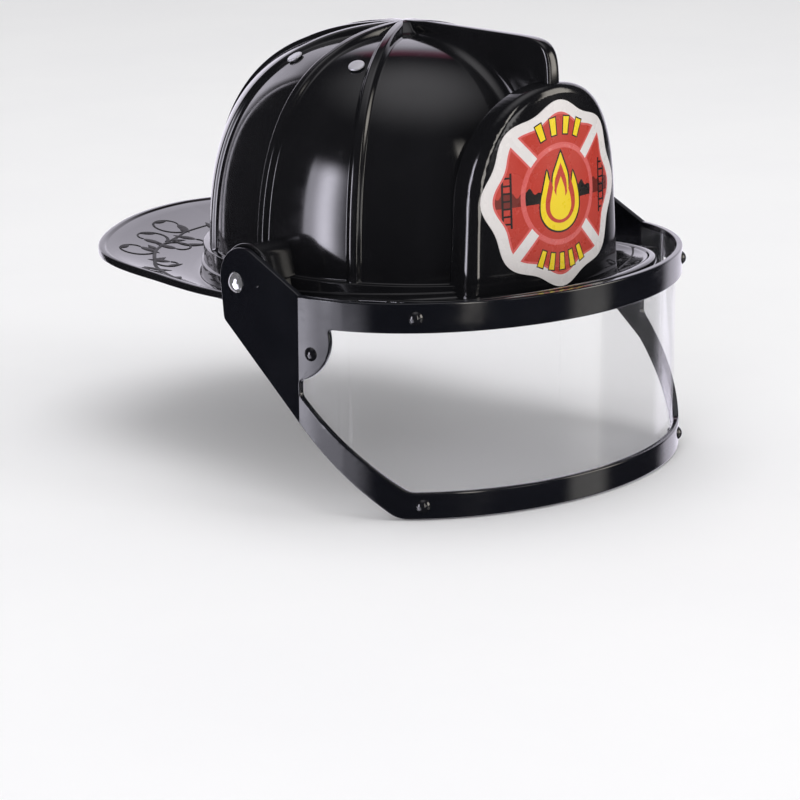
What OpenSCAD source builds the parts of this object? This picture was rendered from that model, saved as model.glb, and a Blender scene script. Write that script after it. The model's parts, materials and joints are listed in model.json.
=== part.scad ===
// Toy fire helmet with a swing-up face visor and an inner suspension.
// Origin: centre of the dome's foot. The front faces -Y, and +Z is up.

/* [Dome] */
// Width of the dome at its foot
dome_w = 185; // [176:1:194]
// Length of the dome at its foot
dome_l = 203; // [194:1:212]
// Height of the panels between the ribs
dome_h = 109; // [104:1:114]
// Fullness of the dome's side view, where 2 is an ellipse
dome_power = 2.64; // [2.5:0.02:2.8]
// Thickness of the moulded walls
wall = 2.4; // [2:0.1:2.8]
// Width of a rib over its foot
rib_w = 6.8; // [5:0.2:7.6]
// Height of a rib over the panels
rib_h = 2.2; // [1.5:0.1:3]
// Height of the hub where the ribs meet
hub_h = 5.4; // [4:0.2:7]

/* [Crest] */
// Height of the crest's level top edge
crest_z = 115.6; // [113:0.2:118]
// Distance from the origin to the crest's front edge
crest_y = 103; // [101:0.5:103]
// Thickness of the crest at its front
crest_t = 9.6; // [7:0.2:11]
// Squareness of the crest's front corner
crest_power = 18; // [10:1:24]

/* [Collar and brim] */
// Height of the collar's top edge
collar_top = 4.1; // [3:0.1:5]
// How far the collar's upper step stands out from the dome
collar_out = 3.3; // [3:0.1:4]
// How far the collar's lower step stands out from the dome
collar_foot = 4.6; // [4.4:0.1:5]
// Brim radius every 18 degrees, from the front to the rear
brim_r = [126.4, 127.5, 126, 111, 103, 102, 105.6, 122.3, 157.4, 170.1, 174.1];
// Heights of the brim where it leaves the collar, as terms of a cosine series
brim_inner = [-7.7, 6, 2.3, -1.4];
// Heights of the brim's edge, as terms of a cosine series
brim_outer = [-3.8, 4.5, 4.3, -2.5];
// Depth of the turned-down edge
edge_drop = 2.7; // [2.6:0.1:5]
// Height of the raised lip along the edge
lip_h = 1; // [0.6:0.1:1.6]

/* [Shield] */
// Height of the shield's top
shield_z = 95.5; // [92:0.5:97]
// Half-width of the shield
shield_half = 49.5; // [46:0.5:50]
// Height where the sides start to arch
shield_spring = 35; // [30:1:40]
// Distance from the origin to the shield's face at its top
shield_y = 105.8; // [105.8:0.1:106.6]
// Radius of the face, curved about the vertical
shield_r = 117; // [112:1:130]
// Backward lean of the face in degrees
shield_lean = 2.5; // [1.5:0.1:3]
// Height of the shield's foot, which the curved brim trims
shield_foot = -2.6; // [-2.7:0.1:-2.4]
// Depth of the flange round the back of the shield
flange_d = 12; // [9:0.5:13]
// Mean radius of the eight-lobed emblem
emblem_r = 42.4; // [40:0.2:42.6]
// Height of the emblem's centre
emblem_z = 44.6; // [44.4:0.1:46]

/* [Visor] */
// Half-width over the side plates
visor_half = 119; // [119:0.5:121]
// Distance from the origin to the front of the visor
visor_y = 135.4; // [135:0.2:138]
// Where the flat side plates end at a crease
crease_y = -54.9; // [-58:0.1:-52]
// Thickness of the frame
frame_t = 3; // [2.6:0.1:3.2]
// Thickness of the clear lens
lens_t = 1; // [0.8:0.1:1.2]
// Top and bottom of the upper band
upper_band = [4.9, -9.2];
// Top and bottom of the lower band at the front
lower_band = [-85.2, -97.7];
// Top and bottom of the lower band at the crease
crease_band = [-42.6, -56.4];
// Pivot, as Y and Z
pivot = [-11, 3.8];
// Radius of the pivot rivet's shank
pivot_r = 2.5; // [2:0.1:3]

/* [Suspension] */
// Half-width and half-length inside the headband
head = [73.5, 90];
// Bottom and top of the headband
band_z = [-14, 12];
// Width of a crown strap
strap_w = 19; // [15:1:22]
// Y of the front and the rear crown strap
strap_y = [-20.4, 23.5];

/* [Hidden] */

$fn = 48;
half_w = dome_w / 2;
half_l = dome_l / 2;
gap = 0.3;                       // air between parts that don't touch
fit = 0.05;                      // radial clearance of a shank in its hole

// Sectors of 30 degrees, each with one rib at its middle; sector 0 is the front.
SECTORS = 12;
SECTOR = 30;
COLUMNS = 7;                     // columns of points in a sector
RIDGE_SHARE = 0.42;              // most of a sector that half a ridge may take, near the pole
lip_w = 4.5;                     // width of the raised lip
brim_in = 7;                     // distance from the dome to where the brim starts
skirt = 4.4;                     // how far the dome's wall runs down past the brim
DOME_ROWS = [88, 84, 78, 71, 64, 57, 51, 47, 43, 38, 30, 22, 14, 7];
INNER_ROWS = [3, 14, 26, 38, 50, 62, 74, 84];

// ---------- shared functions ----------

function mix(a, b, t) = a + (b - a) * t;

// A smooth curve through evenly spaced values.
function spline(v, u) =
    let (n = len(v) - 1, i = min(n - 1, floor(u)), t = u - i,
         p = v[max(0, i - 1)], a = v[i], b = v[i + 1], q = v[min(n, i + 2)])
    a + t / 2 * ((b - p) + t * ((2 * p - 5 * a + 4 * b - q) + t * (3 * (a - b) + q - p)));

// A point at an ellipse's parameter, counted from the front.
function on_ellipse(a, b, th) = [a * sin(th), -b * cos(th)];

function saddle(k, th) =
    k[0] + k[1] * cos(th) + k[2] * cos(2 * th) + k[3] * cos(3 * th);

// Radius fraction and height fraction of the dome at a row's angle.
function row_out(a) = pow(cos(a), 2 / dome_power);
function row_up(a) = pow(sin(a), 2 / dome_power);

function dome_at(a, th, inset = 0) =
    let (p = on_ellipse(half_w - inset, half_l - inset, th) * row_out(a))
    [p[0], p[1], (dome_h - inset) * row_up(a)];

// Outward direction of the dome at a row and angle.
function dome_normal(a, th) =
    let (k = dome_power - 1, g = [pow(row_out(a), k) * sin(th) / half_w,
                                  -pow(row_out(a), k) * cos(th) / half_l,
                                  pow(row_up(a), k) / dome_h])
    g / norm(g);

// Row angle of the dome at a radius fraction.
function row_of(rho) = acos(pow(rho, dome_power / 2));

// Plan curve of the visor at an inset from its outside: half an ellipse and two straight sides.
plan_y = -47.5;                                   // centre of the ellipse
plan_b = visor_y + plan_y;
plan_a = visor_half / sqrt(1 - pow((crease_y - plan_y) / plan_b, 2));
function visor_at(x, inset = 0) =
    plan_y - (plan_b - inset) * sqrt(1 - pow(x / (plan_a - inset), 2));
function visor_turn(x) =
    atan2(x / pow(plan_a, 2), (plan_y - visor_at(x)) / pow(plan_b, 2));

// ---------- shell ----------

function sector_of(i) = floor(i / COLUMNS);
function is_top(i) = let (k = i % COLUMNS) (k == 3 || k == 4) && has_ridge(sector_of(i));
function has_ridge(s) = s != 1 && s != SECTORS - 1;
function foot_half(s) = s == 0 ? crest_t / 2 + 1.6 : rib_w / 2;

// The crest narrows towards the crown, and the ribs don't.
function top_half(s, r) = s == 0 ? crest_t * mix(0.22, 0.46, min(1, r / 80)) : rib_w * 0.28;

// Angle of a column at a plan radius: ridges keep their width, panels share the rest.
function column(i, rho) =
    let (s = sector_of(i), c = s * SECTOR, lim = SECTOR * RIDGE_SHARE,
         r = rho * norm(on_ellipse(half_w, half_l, c)),
         d = r * sin(lim) > foot_half(s) ? asin(foot_half(s) / r) : lim,
         t = r * sin(lim * 0.6) > top_half(s, r) ? asin(top_half(s, r) / r) : lim * 0.6,
         e = SECTOR / 2)
    c + [-e, -(e + d) / 2, -d, -t, t, d, (e + d) / 2][i % COLUMNS];

function rib_rise(rho) = mix(hub_h, rib_h, min(1, rho * 2));

// The crest's outline is a squared curve reached along a ray from the origin.
function crest_scale(p) =
    pow(pow(abs(p[1]) / crest_y, crest_power) + pow(p[2] / crest_z, crest_power),
        -1 / crest_power);

function outer_point(a, i, grow) =
    let (th = column(i, row_out(a)), p = dome_at(a, th), k = crest_scale(p),
         n = dome_normal(a, th))
    is_top(i) && sector_of(i) == 0
        ? [p[0], p[1] * max(1, k), p[2] * max(1, k)] + grow * n
        : p + n * (grow + (is_top(i) ? rib_rise(row_out(a)) : 0));

function ring(out, z) = [for (i = [0:SECTORS * COLUMNS - 1])
    let (th = column(i, 1), p = on_ellipse(half_w + out, half_l + out, th))
    [p[0], p[1], z(th)]];

// A brim point, at a share of the way out and a distance back from the edge.
function brim_point(i, share, back, z) =
    let (th = column(i, 1), p = on_ellipse(half_w + brim_in, half_l + brim_in, th),
         polar = atan2(p[0], -p[1]), edge = spline(brim_r, abs(polar) / 18) - back,
         q = [edge * sin(polar), -edge * cos(polar)], m = mix(p, q, share))
    [m[0], m[1], mix(saddle(brim_inner, th), saddle(brim_outer, th), pow(share, 1.5)) + z];
function brim_row(share, back, z) =
    [for (i = [0:SECTORS * COLUMNS - 1]) brim_point(i, share, back, z)];

// Height of the collar between the brim and its top edge.
function collar_z(th, share) = mix(saddle(brim_inner, th), collar_top, share);

// Rows from the crown down the outside, round the brim's edge and back up the inside.
function shell_rows(grow) = concat(
    [for (a = DOME_ROWS) [for (i = [0:SECTORS * COLUMNS - 1]) outer_point(a, i, grow)]],
    [[for (i = [0:SECTORS * COLUMNS - 1])
        let (th = column(i, 1), rise = grow + (is_top(i) ? rib_h * 0.8 : 0),
             p = on_ellipse(half_w + rise, half_l + rise, th))
        [p[0], p[1], collar_top + grow]]],
    [ring(collar_out + grow, function(th) collar_top + grow - 0.01),
     ring(collar_out + grow, function(th) collar_z(th, 0.5)),
     ring(collar_foot + grow, function(th) collar_z(th, 0.46)),
     ring(collar_foot + grow, function(th) collar_z(th, 0.12) + grow),
     brim_row(0, 0, grow),
     brim_row(0.4, lip_w, grow),
     brim_row(1, lip_w, grow),
     brim_row(1, 3.6, lip_h),
     brim_row(1, 1, lip_h),
     brim_row(1, 0, lip_h - 1),
     brim_row(1, 0, -edge_drop),
     brim_row(1, 2, -edge_drop),
     brim_row(1, 2.2, -wall),
     brim_row(0.4, lip_w, -wall),
     brim_row(0, 0, -wall),
     ring(2.8, function(th) saddle(brim_inner, th) - skirt),
     ring(0.4, function(th) saddle(brim_inner, th) - skirt),
     ring(0.4, function(th) 0.5)],
    [for (a = INNER_ROWS) [for (i = [0:SECTORS * COLUMNS - 1])
        dome_at(a, column(i, row_out(a)), wall)]]);

// Closes rows of points into a solid, with a single point at each end.
module lofted(rows, first, last) {
    n = len(rows[0]);
    count = len(rows) * n;
    points = concat([for (r = rows) each r], [first, last]);
    sides = [for (r = [0:len(rows) - 2], i = [0:n - 1]) let (j = (i + 1) % n)
        each [[r * n + i, (r + 1) * n + j, (r + 1) * n + i],
              [r * n + i, r * n + j, (r + 1) * n + j]]];
    ends = [for (i = [0:n - 1]) let (j = (i + 1) % n, b = (len(rows) - 1) * n)
        each [[count, j, i], [count + 1, b + i, b + j]]];
    polyhedron(points, concat(sides, ends));
}

module hat(grow = 0) {
    lofted(shell_rows(grow), [0, 0, dome_h + hub_h + grow], [0, 0, dome_h - wall]);
}

// Clears the dome or the collar, whose plan is an ellipse.
module plan_cut(out, from, to) {
    translate([0, 0, from]) linear_extrude(to - from)
        polygon([for (t = [0:5:355]) on_ellipse(half_w + out, half_l + out, t)]);
}

module along_x(x) {
    translate([x, 0, 0]) rotate([90, 0, 90]) children();
}

module both_sides() {
    children();
    mirror([1, 0, 0]) children();
}

// X of the dome rivets, which hold the crown straps in mirrored pairs.
rivet_x = 49.5;

// Puts children at a dome rivet's place, with +Z along the outward direction.
module at_dome_rivet(y) {
    a = row_of(norm([rivet_x / half_w, y / half_l]));
    th = atan2(rivet_x / half_w, -y / half_l);
    n = dome_normal(a, th);
    translate(dome_at(a, th)) rotate([0, acos(n[2]), atan2(n[1], n[0])]) children();
}

module shell() color("#141416") difference() {
    hat();
    both_sides() {
        along_x(half_w - 10) translate(screw) cylinder(r = screw_r + fit, h = 12);
        for (y = strap_y)
            at_dome_rivet(y) translate([0, 0, -8]) cylinder(r = dome_shank + fit, h = 16);
    }
}

// ---------- side brackets ----------

// The visor arm's rounded end, which the bracket behind it follows.
arm_c = [-15.5, 4.8];
arm_r = 16.2;
bracket_r = arm_r + 0.6;
rim = 1;                                          // how far the outer rim stands out
bracket_out = visor_half - frame_t - 0.4;         // outer face of the bracket
bracket_in = half_w + collar_foot + 4;            // where its hollow starts
bracket_floor = -17;
brim_clear = 15.6;                                // from under the floor to above the brim
screw = [arm_c[0], 12];                           // Y and Z of the screw that holds it
screw_r = 1.5;

// Behind the face the bracket is narrower: its top turns down early into a leaning front wall.
corner_r = 7;
corner_y = arm_c[0] + 3.6;
corner = [corner_y, arm_c[1] + sqrt(pow(bracket_r - corner_r, 2) - pow(corner_y - arm_c[0], 2))];
lean = 11;                                        // degrees

module arch_2d(r, floor_z) {
    translate(arm_c) circle(r);
    translate([arm_c[0] - r, floor_z]) square([2 * r, arm_c[1] - floor_z]);
}

module tunnel_2d(inset, floor_z) {
    r = corner_r - inset;
    crown = corner + r * (corner - arm_c) / norm(corner - arm_c);
    top = corner + r * [-cos(lean), sin(lean)];
    foot = top - (top[1] - floor_z) * [tan(lean), 1];
    intersection() {
        arch_2d(bracket_r - inset, floor_z);
        translate([crown[0], floor_z]) square(2 * bracket_r - floor_z);
    }
    translate(corner) circle(r);
    polygon([crown, top, foot, [crown[0], floor_z]]);
}

module bracket() color("#161618") difference() {
    union() {
        along_x(half_w - 6) linear_extrude(bracket_out - half_w + 6) tunnel_2d(0, bracket_floor);
        along_x(bracket_out - 1.4) linear_extrude(1.4) arch_2d(bracket_r + rim, bracket_floor);
    }
    along_x(bracket_in) linear_extrude(bracket_out - wall - bracket_in)
        tunnel_2d(wall, bracket_floor - 1);
    along_x(bracket_in) translate(pivot) cylinder(r = pivot_r + fit, h = 40);
    along_x(half_w - 10) translate(screw) cylinder(r = screw_r + fit, h = 20);
    plan_cut(collar_foot + gap, bracket_floor - 1, collar_top + gap);
    plan_cut(rib_h + gap, collar_top, 40);
    translate([0, -50, bracket_floor - 1]) cube([brim_r[5] + 1.5, 100, brim_clear]);
}
module side_bracket_right() mirror([1, 0, 0]) bracket();
module side_bracket_left() bracket();

// Pan-head screws driven outwards from inside the dome.
module bracket_screws() color("#b8b8bc") both_sides() {
    along_x(half_w - wall - 3.4) translate(screw) cylinder(r = 3.1, h = 1.5);
    along_x(half_w - wall - 2.4) translate(screw) cylinder(r = screw_r, h = 11.5);
}

// ---------- shield ----------

module shield_2d(inset = 0) {
    rise = shield_z - shield_spring - inset;
    half = shield_half - inset;
    polygon(concat(
        [for (t = [0:7.5:180]) [half * cos(t), shield_spring + rise * sin(t)]],
        [[-half - 2.5, shield_foot], [half + 2.5, shield_foot]]));
}

// Leans its children back about the top of the shield's face.
module leaned() {
    translate([0, -shield_y, shield_z]) rotate([-shield_lean, 0, 0])
        translate([0, shield_y, -shield_z]) children();
}

module face_column(inset) {
    translate([0, shield_r - shield_y, -20]) cylinder(r = shield_r - inset, h = 140, $fn = 96);
}

module towards_front(depth) {
    rotate([90, 0, 0]) linear_extrude(depth) children();
}

module front_shield() color("#161618") difference() {
    leaned() difference() {
        intersection() {
            face_column(0);
            towards_front(150) shield_2d();
        }
        face_column(flange_d);
        intersection() {
            face_column(wall);
            towards_front(150) shield_2d(wall);
        }
    }
    hat(gap);
    plan_cut(collar_out / 2, -20, collar_top - 0.5);
}

// Eight lobes, four of them on the main axes.
module emblem_2d(r) {
    polygon([for (t = [0:4:356]) (r * (1 + 0.055 * cos(8 * t))) * [cos(t), sin(t)]]);
}

module shield_emblem() color("#c83e32") leaned() difference() {
    intersection() {
        face_column(-0.35);
        translate([0, 0, emblem_z]) towards_front(150) emblem_2d(emblem_r);
    }
    face_column(-0.02);
}

// ---------- visor ----------

// A curved wall that follows the visor's plan, between two insets.
module plan_wall(from, to, rear) {
    steps = 36;
    function side(inset) = concat(
        [[visor_half - inset, rear]],
        [for (i = [0:steps]) let (x = (visor_half - inset) * cos(180 * i / steps))
            [x, visor_at(x, inset)]],
        [[inset - visor_half, rear]]);
    outer = side(from);
    inner = side(to);
    polygon(concat(outer, [for (i = [len(inner) - 1:-1:0]) inner[i]]));
}

// A Y-Z outline swept across the whole width.
module across(width = 260) {
    along_x(-width / 2) linear_extrude(width) children();
}

front_y = -150;                                   // safely in front of the visor
corner_in = visor_at(92.9);                       // where the window's sloping edge ends
corner_out = visor_at(97.4);
gusset_c = [-51.3, -15.1];                        // centre of the rounded corner tab
gusset_r = 20.5;
heel = [-5.7, -12.9];                             // centre of the arm's rounded lower rear corner
heel_r = 4.5;

module arm_2d() {
    hull() {
        translate(arm_c) circle(arm_r, $fn = 64);
        translate(heel) circle(heel_r);
        translate([crease_y, crease_band[1]]) square([0.1, upper_band[0] - crease_band[1]]);
    }
}

module bands_2d() {
    polygon([[crease_y, upper_band[0]], [front_y, upper_band[0]],
             [front_y, lower_band[1]], [corner_out, lower_band[1]],
             [crease_y, crease_band[1]]]);
}

module window_2d() {
    difference() {
        polygon([[crease_y - gap, upper_band[1]], [front_y - 1, upper_band[1]],
                 [front_y - 1, lower_band[0]], [corner_in, lower_band[0]],
                 [crease_y - gap, crease_band[0]]]);
        translate(gusset_c) circle(gusset_r, $fn = 64);
    }
}

// Lens rivet places, as X and Z on the outside of the frame.
corner_rivet = [117.8, -21.8];
top_rivet = [91.3, -2.1];
bottom_rivet = [88.8, -91.4];
LENS_RIVETS = [corner_rivet, top_rivet, bottom_rivet];
lens_shank = 1.6;
dome_shank = 1.7;
lens_lap = 2.5;                                   // how far the lens stops inside the frame's edge

module at_lens_rivet(place) {
    translate([place[0], visor_at(place[0]), place[1]]) rotate([90, 0, visor_turn(place[0])])
        children();
}

module visor_frame() color("#141416") difference() {
    intersection() {
        translate([0, 0, -120]) linear_extrude(160) plan_wall(0, frame_t, 4);
        across() difference() {
            union() {
                arm_2d();
                bands_2d();
            }
            window_2d();
        }
    }
    both_sides() {
        along_x(visor_half - 10) translate(pivot) cylinder(r = pivot_r + fit, h = 20);
        for (r = LENS_RIVETS)
            at_lens_rivet(r) translate([0, 0, -10]) cylinder(r = lens_shank + fit, h = 20);
    }
}

module visor_lens() color("#dfe9ee", 0.35) difference() {
    intersection() {
        translate([0, 0, -120]) linear_extrude(160)
            plan_wall(frame_t + fit, frame_t + fit + lens_t, crease_y);
        across() polygon([[crease_y - 1, upper_band[0] - lens_lap], [front_y, upper_band[0] - lens_lap],
                          [front_y, lower_band[1] + lens_lap], [corner_out - 1, lower_band[1] + lens_lap],
                          [crease_y - 1, crease_band[1] + 4]]);
    }
    both_sides() for (r = LENS_RIVETS)
        at_lens_rivet(r) translate([0, 0, -10]) cylinder(r = lens_shank + fit, h = 20);
}

// A low dome on the z = 0 plane.
module button(r, h) {
    ball = (r * r + h * h) / (2 * h);
    intersection() {
        translate([0, 0, h - ball]) sphere(ball);
        cylinder(r = r + 1, h = h + 1);
    }
}

// A domed head, a shank and a tail that flares against the lens.
module lens_rivet(place) color("#0c0c0e") at_lens_rivet(place) {
    grip = frame_t + lens_t + 3 * fit;
    translate([0, 0, fit]) button(3.3, 1.9);
    translate([0, 0, -grip - 0.8]) cylinder(r = lens_shank, h = grip + 0.9);
    translate([0, 0, -grip - 1.3]) cylinder(r1 = 2.2, r2 = 2.8, h = 1.1);
}

module lens_rivet_corner_right() mirror([1, 0, 0]) lens_rivet(corner_rivet);
module lens_rivet_corner_left() lens_rivet(corner_rivet);
module lens_rivet_top_right() mirror([1, 0, 0]) lens_rivet(top_rivet);
module lens_rivet_top_left() lens_rivet(top_rivet);
module lens_rivet_bottom_right() mirror([1, 0, 0]) lens_rivet(bottom_rivet);
module lens_rivet_bottom_left() lens_rivet(bottom_rivet);

// ---------- pivots ----------

washer_t = 1;

// The domed head outside the visor, the shank and the tail set against the washer.
module pivot_rivet() color("#d8d8dc") {
    tail = bracket_out - wall - washer_t - 0.1;
    along_x(visor_half + 0.15) translate(pivot) button(5, 2.6);
    along_x(tail - 1.2) translate(pivot) cylinder(r = pivot_r, h = visor_half + 0.3 - tail + 1.2);
    along_x(tail - 1.2) translate(pivot) cylinder(r = 3.6, h = 1.2);
}
module pivot_washer() color("#b8b8bc")
    along_x(bracket_out - wall - washer_t - fit) translate(pivot) difference() {
        cylinder(r = 5, h = washer_t);
        translate([0, 0, -1]) cylinder(r = pivot_r + fit, h = washer_t + 2);
    }

module pivot_rivet_right() mirror([1, 0, 0]) pivot_rivet();
module pivot_rivet_left() pivot_rivet();
module pivot_washer_right() mirror([1, 0, 0]) pivot_washer();
module pivot_washer_left() pivot_washer();

// ---------- dome rivets ----------

rivet_grip = wall + 8.5;                          // from the dome's outside to the washer
module dome_rivet(y) color("#c4c4c4") at_dome_rivet(y) {
    translate([0, 0, 2 * gap]) cylinder(r = 3.6, h = 1.1);
    translate([0, 0, -rivet_grip - 1.6]) cylinder(r = dome_shank, h = rivet_grip + 2.4);
    translate([0, 0, -rivet_grip - 1.9]) cylinder(r = 2.6, h = 0.9);
}
module dome_rivet_front_right() mirror([1, 0, 0]) dome_rivet(strap_y[0]);
module dome_rivet_front_left() dome_rivet(strap_y[0]);
module dome_rivet_rear_right() mirror([1, 0, 0]) dome_rivet(strap_y[1]);
module dome_rivet_rear_left() dome_rivet(strap_y[1]);

module rivet_backing_washers() color("#b0b0b4") both_sides() for (y = strap_y)
    at_dome_rivet(y) translate([0, 0, -rivet_grip - 0.9]) difference() {
        cylinder(r = 4.2, h = 0.8);
        translate([0, 0, -1]) cylinder(r = dome_shank + fit, h = 3);
    }

// ---------- suspension ----------

strap_t = 1.2;
strap_x = head[0] + 3.1;                          // outside of the headband at the pegs

// Centre line of a crown strap, from the right peg tab over the crown to the left one.
function strap_path() = let (w = 79.5, foot = 10, rise = 87, power = 2.9) concat(
    [[strap_x, -9], [strap_x, 5]],
    [for (t = [0:9:180]) let (c = cos(t))
        [w * sign(c) * pow(abs(c), 2 / power), foot + rise * pow(sin(t), 2 / power)]],
    [[-strap_x, 5], [-strap_x, -9]]);

// A strip of even thickness along a path.
function turn_at(p, i) = let (d = p[min(len(p) - 1, i + 1)] - p[max(0, i - 1)])
    [-d[1], d[0]] / norm(d);
module strip_2d(p, t) {
    polygon(concat([for (i = [0:len(p) - 1]) p[i] + turn_at(p, i) * t / 2],
                   [for (i = [len(p) - 1:-1:0]) p[i] - turn_at(p, i) * t / 2]));
}

module crown_strap(y) color("#26262a") difference() {
    translate([0, y + strap_w / 2, 0]) rotate([90, 0, 0]) linear_extrude(strap_w)
        strip_2d(strap_path(), strap_t);
    both_sides() {
        at_dome_rivet(y) translate([0, 0, -14]) cylinder(r = dome_shank + fit, h = 16);
        along_x(60) translate([y, 0]) cylinder(r = strap_peg_r + fit, h = 30);
    }
}
module crown_strap_front() crown_strap(strap_y[0]);
module crown_strap_rear() crown_strap(strap_y[1]);

// Part of an elliptical band, from one angle round to another.
module band_arc(a, b, t, from, to, z, h) {
    step = (to - from) / 60;
    translate([0, 0, z]) linear_extrude(h) polygon(concat(
        [for (i = [0:60]) on_ellipse(a + t, b + t, from + i * step)],
        [for (i = [60:-1:0]) on_ellipse(a, b, from + i * step)]));
}

band_t = 1.6;
first_hole = 16;                                  // degrees from the rear to the first size hole
peg_step = 5;                                     // degrees between the size holes
strap_peg_r = 2;
strap_peg_in = head[0] - 5.4;                     // inner end of a strap peg
module at_size_hole(i) {
    th = 180 + i;
    p = on_ellipse(head[0], head[1], th);
    translate([p[0], p[1], (band_z[0] + band_z[1]) / 2]) rotate([90, 0, i]) rotate([0, 180, 0])
        children();
}

module headband() color("#e9e7e2") difference() {
    band_arc(head[0], head[1], band_t, -168, 168, band_z[0], band_z[1] - band_z[0]);
    for (side = [-1, 1], k = [0:3])
        at_size_hole(side * (first_hole + k * peg_step)) translate([0, 0, -6]) cylinder(r = 1.6, h = 12);
    both_sides() for (y = strap_y)
        along_x(50) translate([y, 0]) cylinder(r = strap_peg_r + fit, h = 40);
}

module size_adjuster() color("#e9e7e2") {
    out = band_t + 0.25;
    band_arc(head[0] + out, head[1] + out, 1.4, 146, 214, -6, 10);
    for (side = [-1, 1], k = [1, 3])
        at_size_hole(side * (first_hole + k * peg_step)) translate([0, 0, -1.2])
            cylinder(r = 1.5, h = out + 2);
}

module brow_pad() color("#3a3a3c")
    band_arc(head[0] - 5.5, head[1] - 5.5, 5.2, -52, 52, band_z[0] + 2, 21);

// Each peg has a button outside the strap and a foot inside the headband.
module strap_pegs() color("#26262a") both_sides() for (y = strap_y) {
    along_x(strap_x + strap_t / 2 + 0.1) translate([y, 0]) button(4, 1.6);
    along_x(strap_peg_in + 1) translate([y, 0])
        cylinder(r = strap_peg_r, h = strap_x + strap_t - strap_peg_in - 1);
    along_x(strap_peg_in) translate([y, 0]) cylinder(r = 3.2, h = 1.2);
}

shell();
front_shield();
shield_emblem();
visor_frame();
visor_lens();
lens_rivet_corner_right();
lens_rivet_corner_left();
lens_rivet_top_right();
lens_rivet_top_left();
lens_rivet_bottom_right();
lens_rivet_bottom_left();
side_bracket_right();
side_bracket_left();
bracket_screws();
pivot_rivet_right();
pivot_rivet_left();
pivot_washer_right();
pivot_washer_left();
dome_rivet_front_right();
dome_rivet_front_left();
dome_rivet_rear_right();
dome_rivet_rear_left();
rivet_backing_washers();
crown_strap_front();
crown_strap_rear();
headband();
size_adjuster();
brow_pad();
strap_pegs();
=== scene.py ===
import json
import math

import bmesh
import bpy
import numpy as np
from mathutils import Matrix, Vector
from mathutils.geometry import delaunay_2d_cdt, tessellate_polygon


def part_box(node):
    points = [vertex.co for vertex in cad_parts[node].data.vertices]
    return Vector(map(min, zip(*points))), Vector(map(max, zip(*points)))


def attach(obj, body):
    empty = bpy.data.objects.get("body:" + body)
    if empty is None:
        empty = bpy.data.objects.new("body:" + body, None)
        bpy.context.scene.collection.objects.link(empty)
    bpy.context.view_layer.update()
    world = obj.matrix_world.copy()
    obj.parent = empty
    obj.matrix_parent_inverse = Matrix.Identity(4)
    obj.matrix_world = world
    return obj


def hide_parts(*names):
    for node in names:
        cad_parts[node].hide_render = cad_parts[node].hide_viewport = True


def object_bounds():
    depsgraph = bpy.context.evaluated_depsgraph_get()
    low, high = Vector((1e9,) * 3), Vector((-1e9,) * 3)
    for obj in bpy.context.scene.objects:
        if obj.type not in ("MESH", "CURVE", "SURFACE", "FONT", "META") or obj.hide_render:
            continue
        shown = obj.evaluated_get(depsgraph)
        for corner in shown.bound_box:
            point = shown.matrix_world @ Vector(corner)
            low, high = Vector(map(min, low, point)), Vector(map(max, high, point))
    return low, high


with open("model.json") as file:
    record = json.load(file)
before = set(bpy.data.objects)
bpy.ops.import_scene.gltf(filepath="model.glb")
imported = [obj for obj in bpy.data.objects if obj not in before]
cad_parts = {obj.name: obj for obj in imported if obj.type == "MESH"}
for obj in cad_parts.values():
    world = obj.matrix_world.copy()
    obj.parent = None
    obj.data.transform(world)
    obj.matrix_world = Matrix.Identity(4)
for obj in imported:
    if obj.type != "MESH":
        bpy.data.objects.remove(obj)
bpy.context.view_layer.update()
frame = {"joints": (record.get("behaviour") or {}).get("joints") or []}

MM = 0.001

# Sizes in millimetres, as in the CAD source.
HALF_W, HALF_L, DOME_H, DOME_POWER, WALL = 92.5, 101.5, 109.0, 2.64, 2.4
RIB_TOP, RIB_FOOT, RIB_H, HUB_H, HUB_R = 1.4, 3.9, 2.2, 5.4, 4.5
CREST_Y, CREST_Z, CREST_POWER, CREST_HALF = 103.0, 115.6, 18.0, 4.5
COLLAR_TOP, COLLAR_OUT, COLLAR_FOOT, COLLAR_STEP = 4.1, 3.3, 4.6, 0.48
BRIM_R = [126.4, 127.5, 126, 111, 103, 102, 105.6, 122.3, 157.4, 170.1, 174.1]
BRIM_INNER = [-7.7, 6, 2.3, -1.4]
BRIM_OUTER = [-3.8, 4.5, 4.3, -2.5]
LIP_W = 4.5
SHIELD_Z, SHIELD_HALF, SHIELD_SPRING, SHIELD_Y, SHIELD_R = 95.5, 49.5, 35.0, 105.8, 117.0
SHIELD_LEAN, SHIELD_FOOT, FLANGE_D, SHIELD_POWER = 2.5, -2.6, 12.0, 2.2
EMBLEM_R, EMBLEM_X, EMBLEM_Z, EMBLEM_T, LOBE = 42.4, -1.0, 43.7, 0.35, 0.042
VISOR_HALF, VISOR_Y, CREASE_Y, PLAN_Y, FRAME_T, LENS_T = 119.0, 135.4, -54.9, -47.5, 3.0, 1.0
UPPER_BAND, LOWER_BAND, CREASE_BAND = (4.9, -9.2), (-85.2, -97.7), (-42.6, -56.4)
ARM_C, ARM_R = np.array([-15.5, 4.8]), 16.2
HEEL, HEEL_R = np.array([-5.7, -12.9]), 4.5
GUSSET_C, GUSSET_R = np.array([-51.3, -15.1]), 20.5
BRACKET_R, BRACKET_OUT, BRACKET_FLOOR = 16.8, 115.6, -17.0
CORNER, CORNER_R, LEAN = ARM_C + np.array([3.6, 9.115]), 7.0, math.radians(11)
HEAD_A, HEAD_B, BAND_T = 73.5, 90.0, 1.6
STRAP_Y, STRAP_W, STRAP_T, RIVET_X = (-20.4, 23.5), 19.0, 1.2, 49.5
RIVET_GRIP = WALL + 8.5
PLAN_B = VISOR_Y + PLAN_Y
PLAN_A = VISOR_HALF / math.sqrt(1 - ((CREASE_Y - PLAN_Y) / PLAN_B) ** 2)
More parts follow.
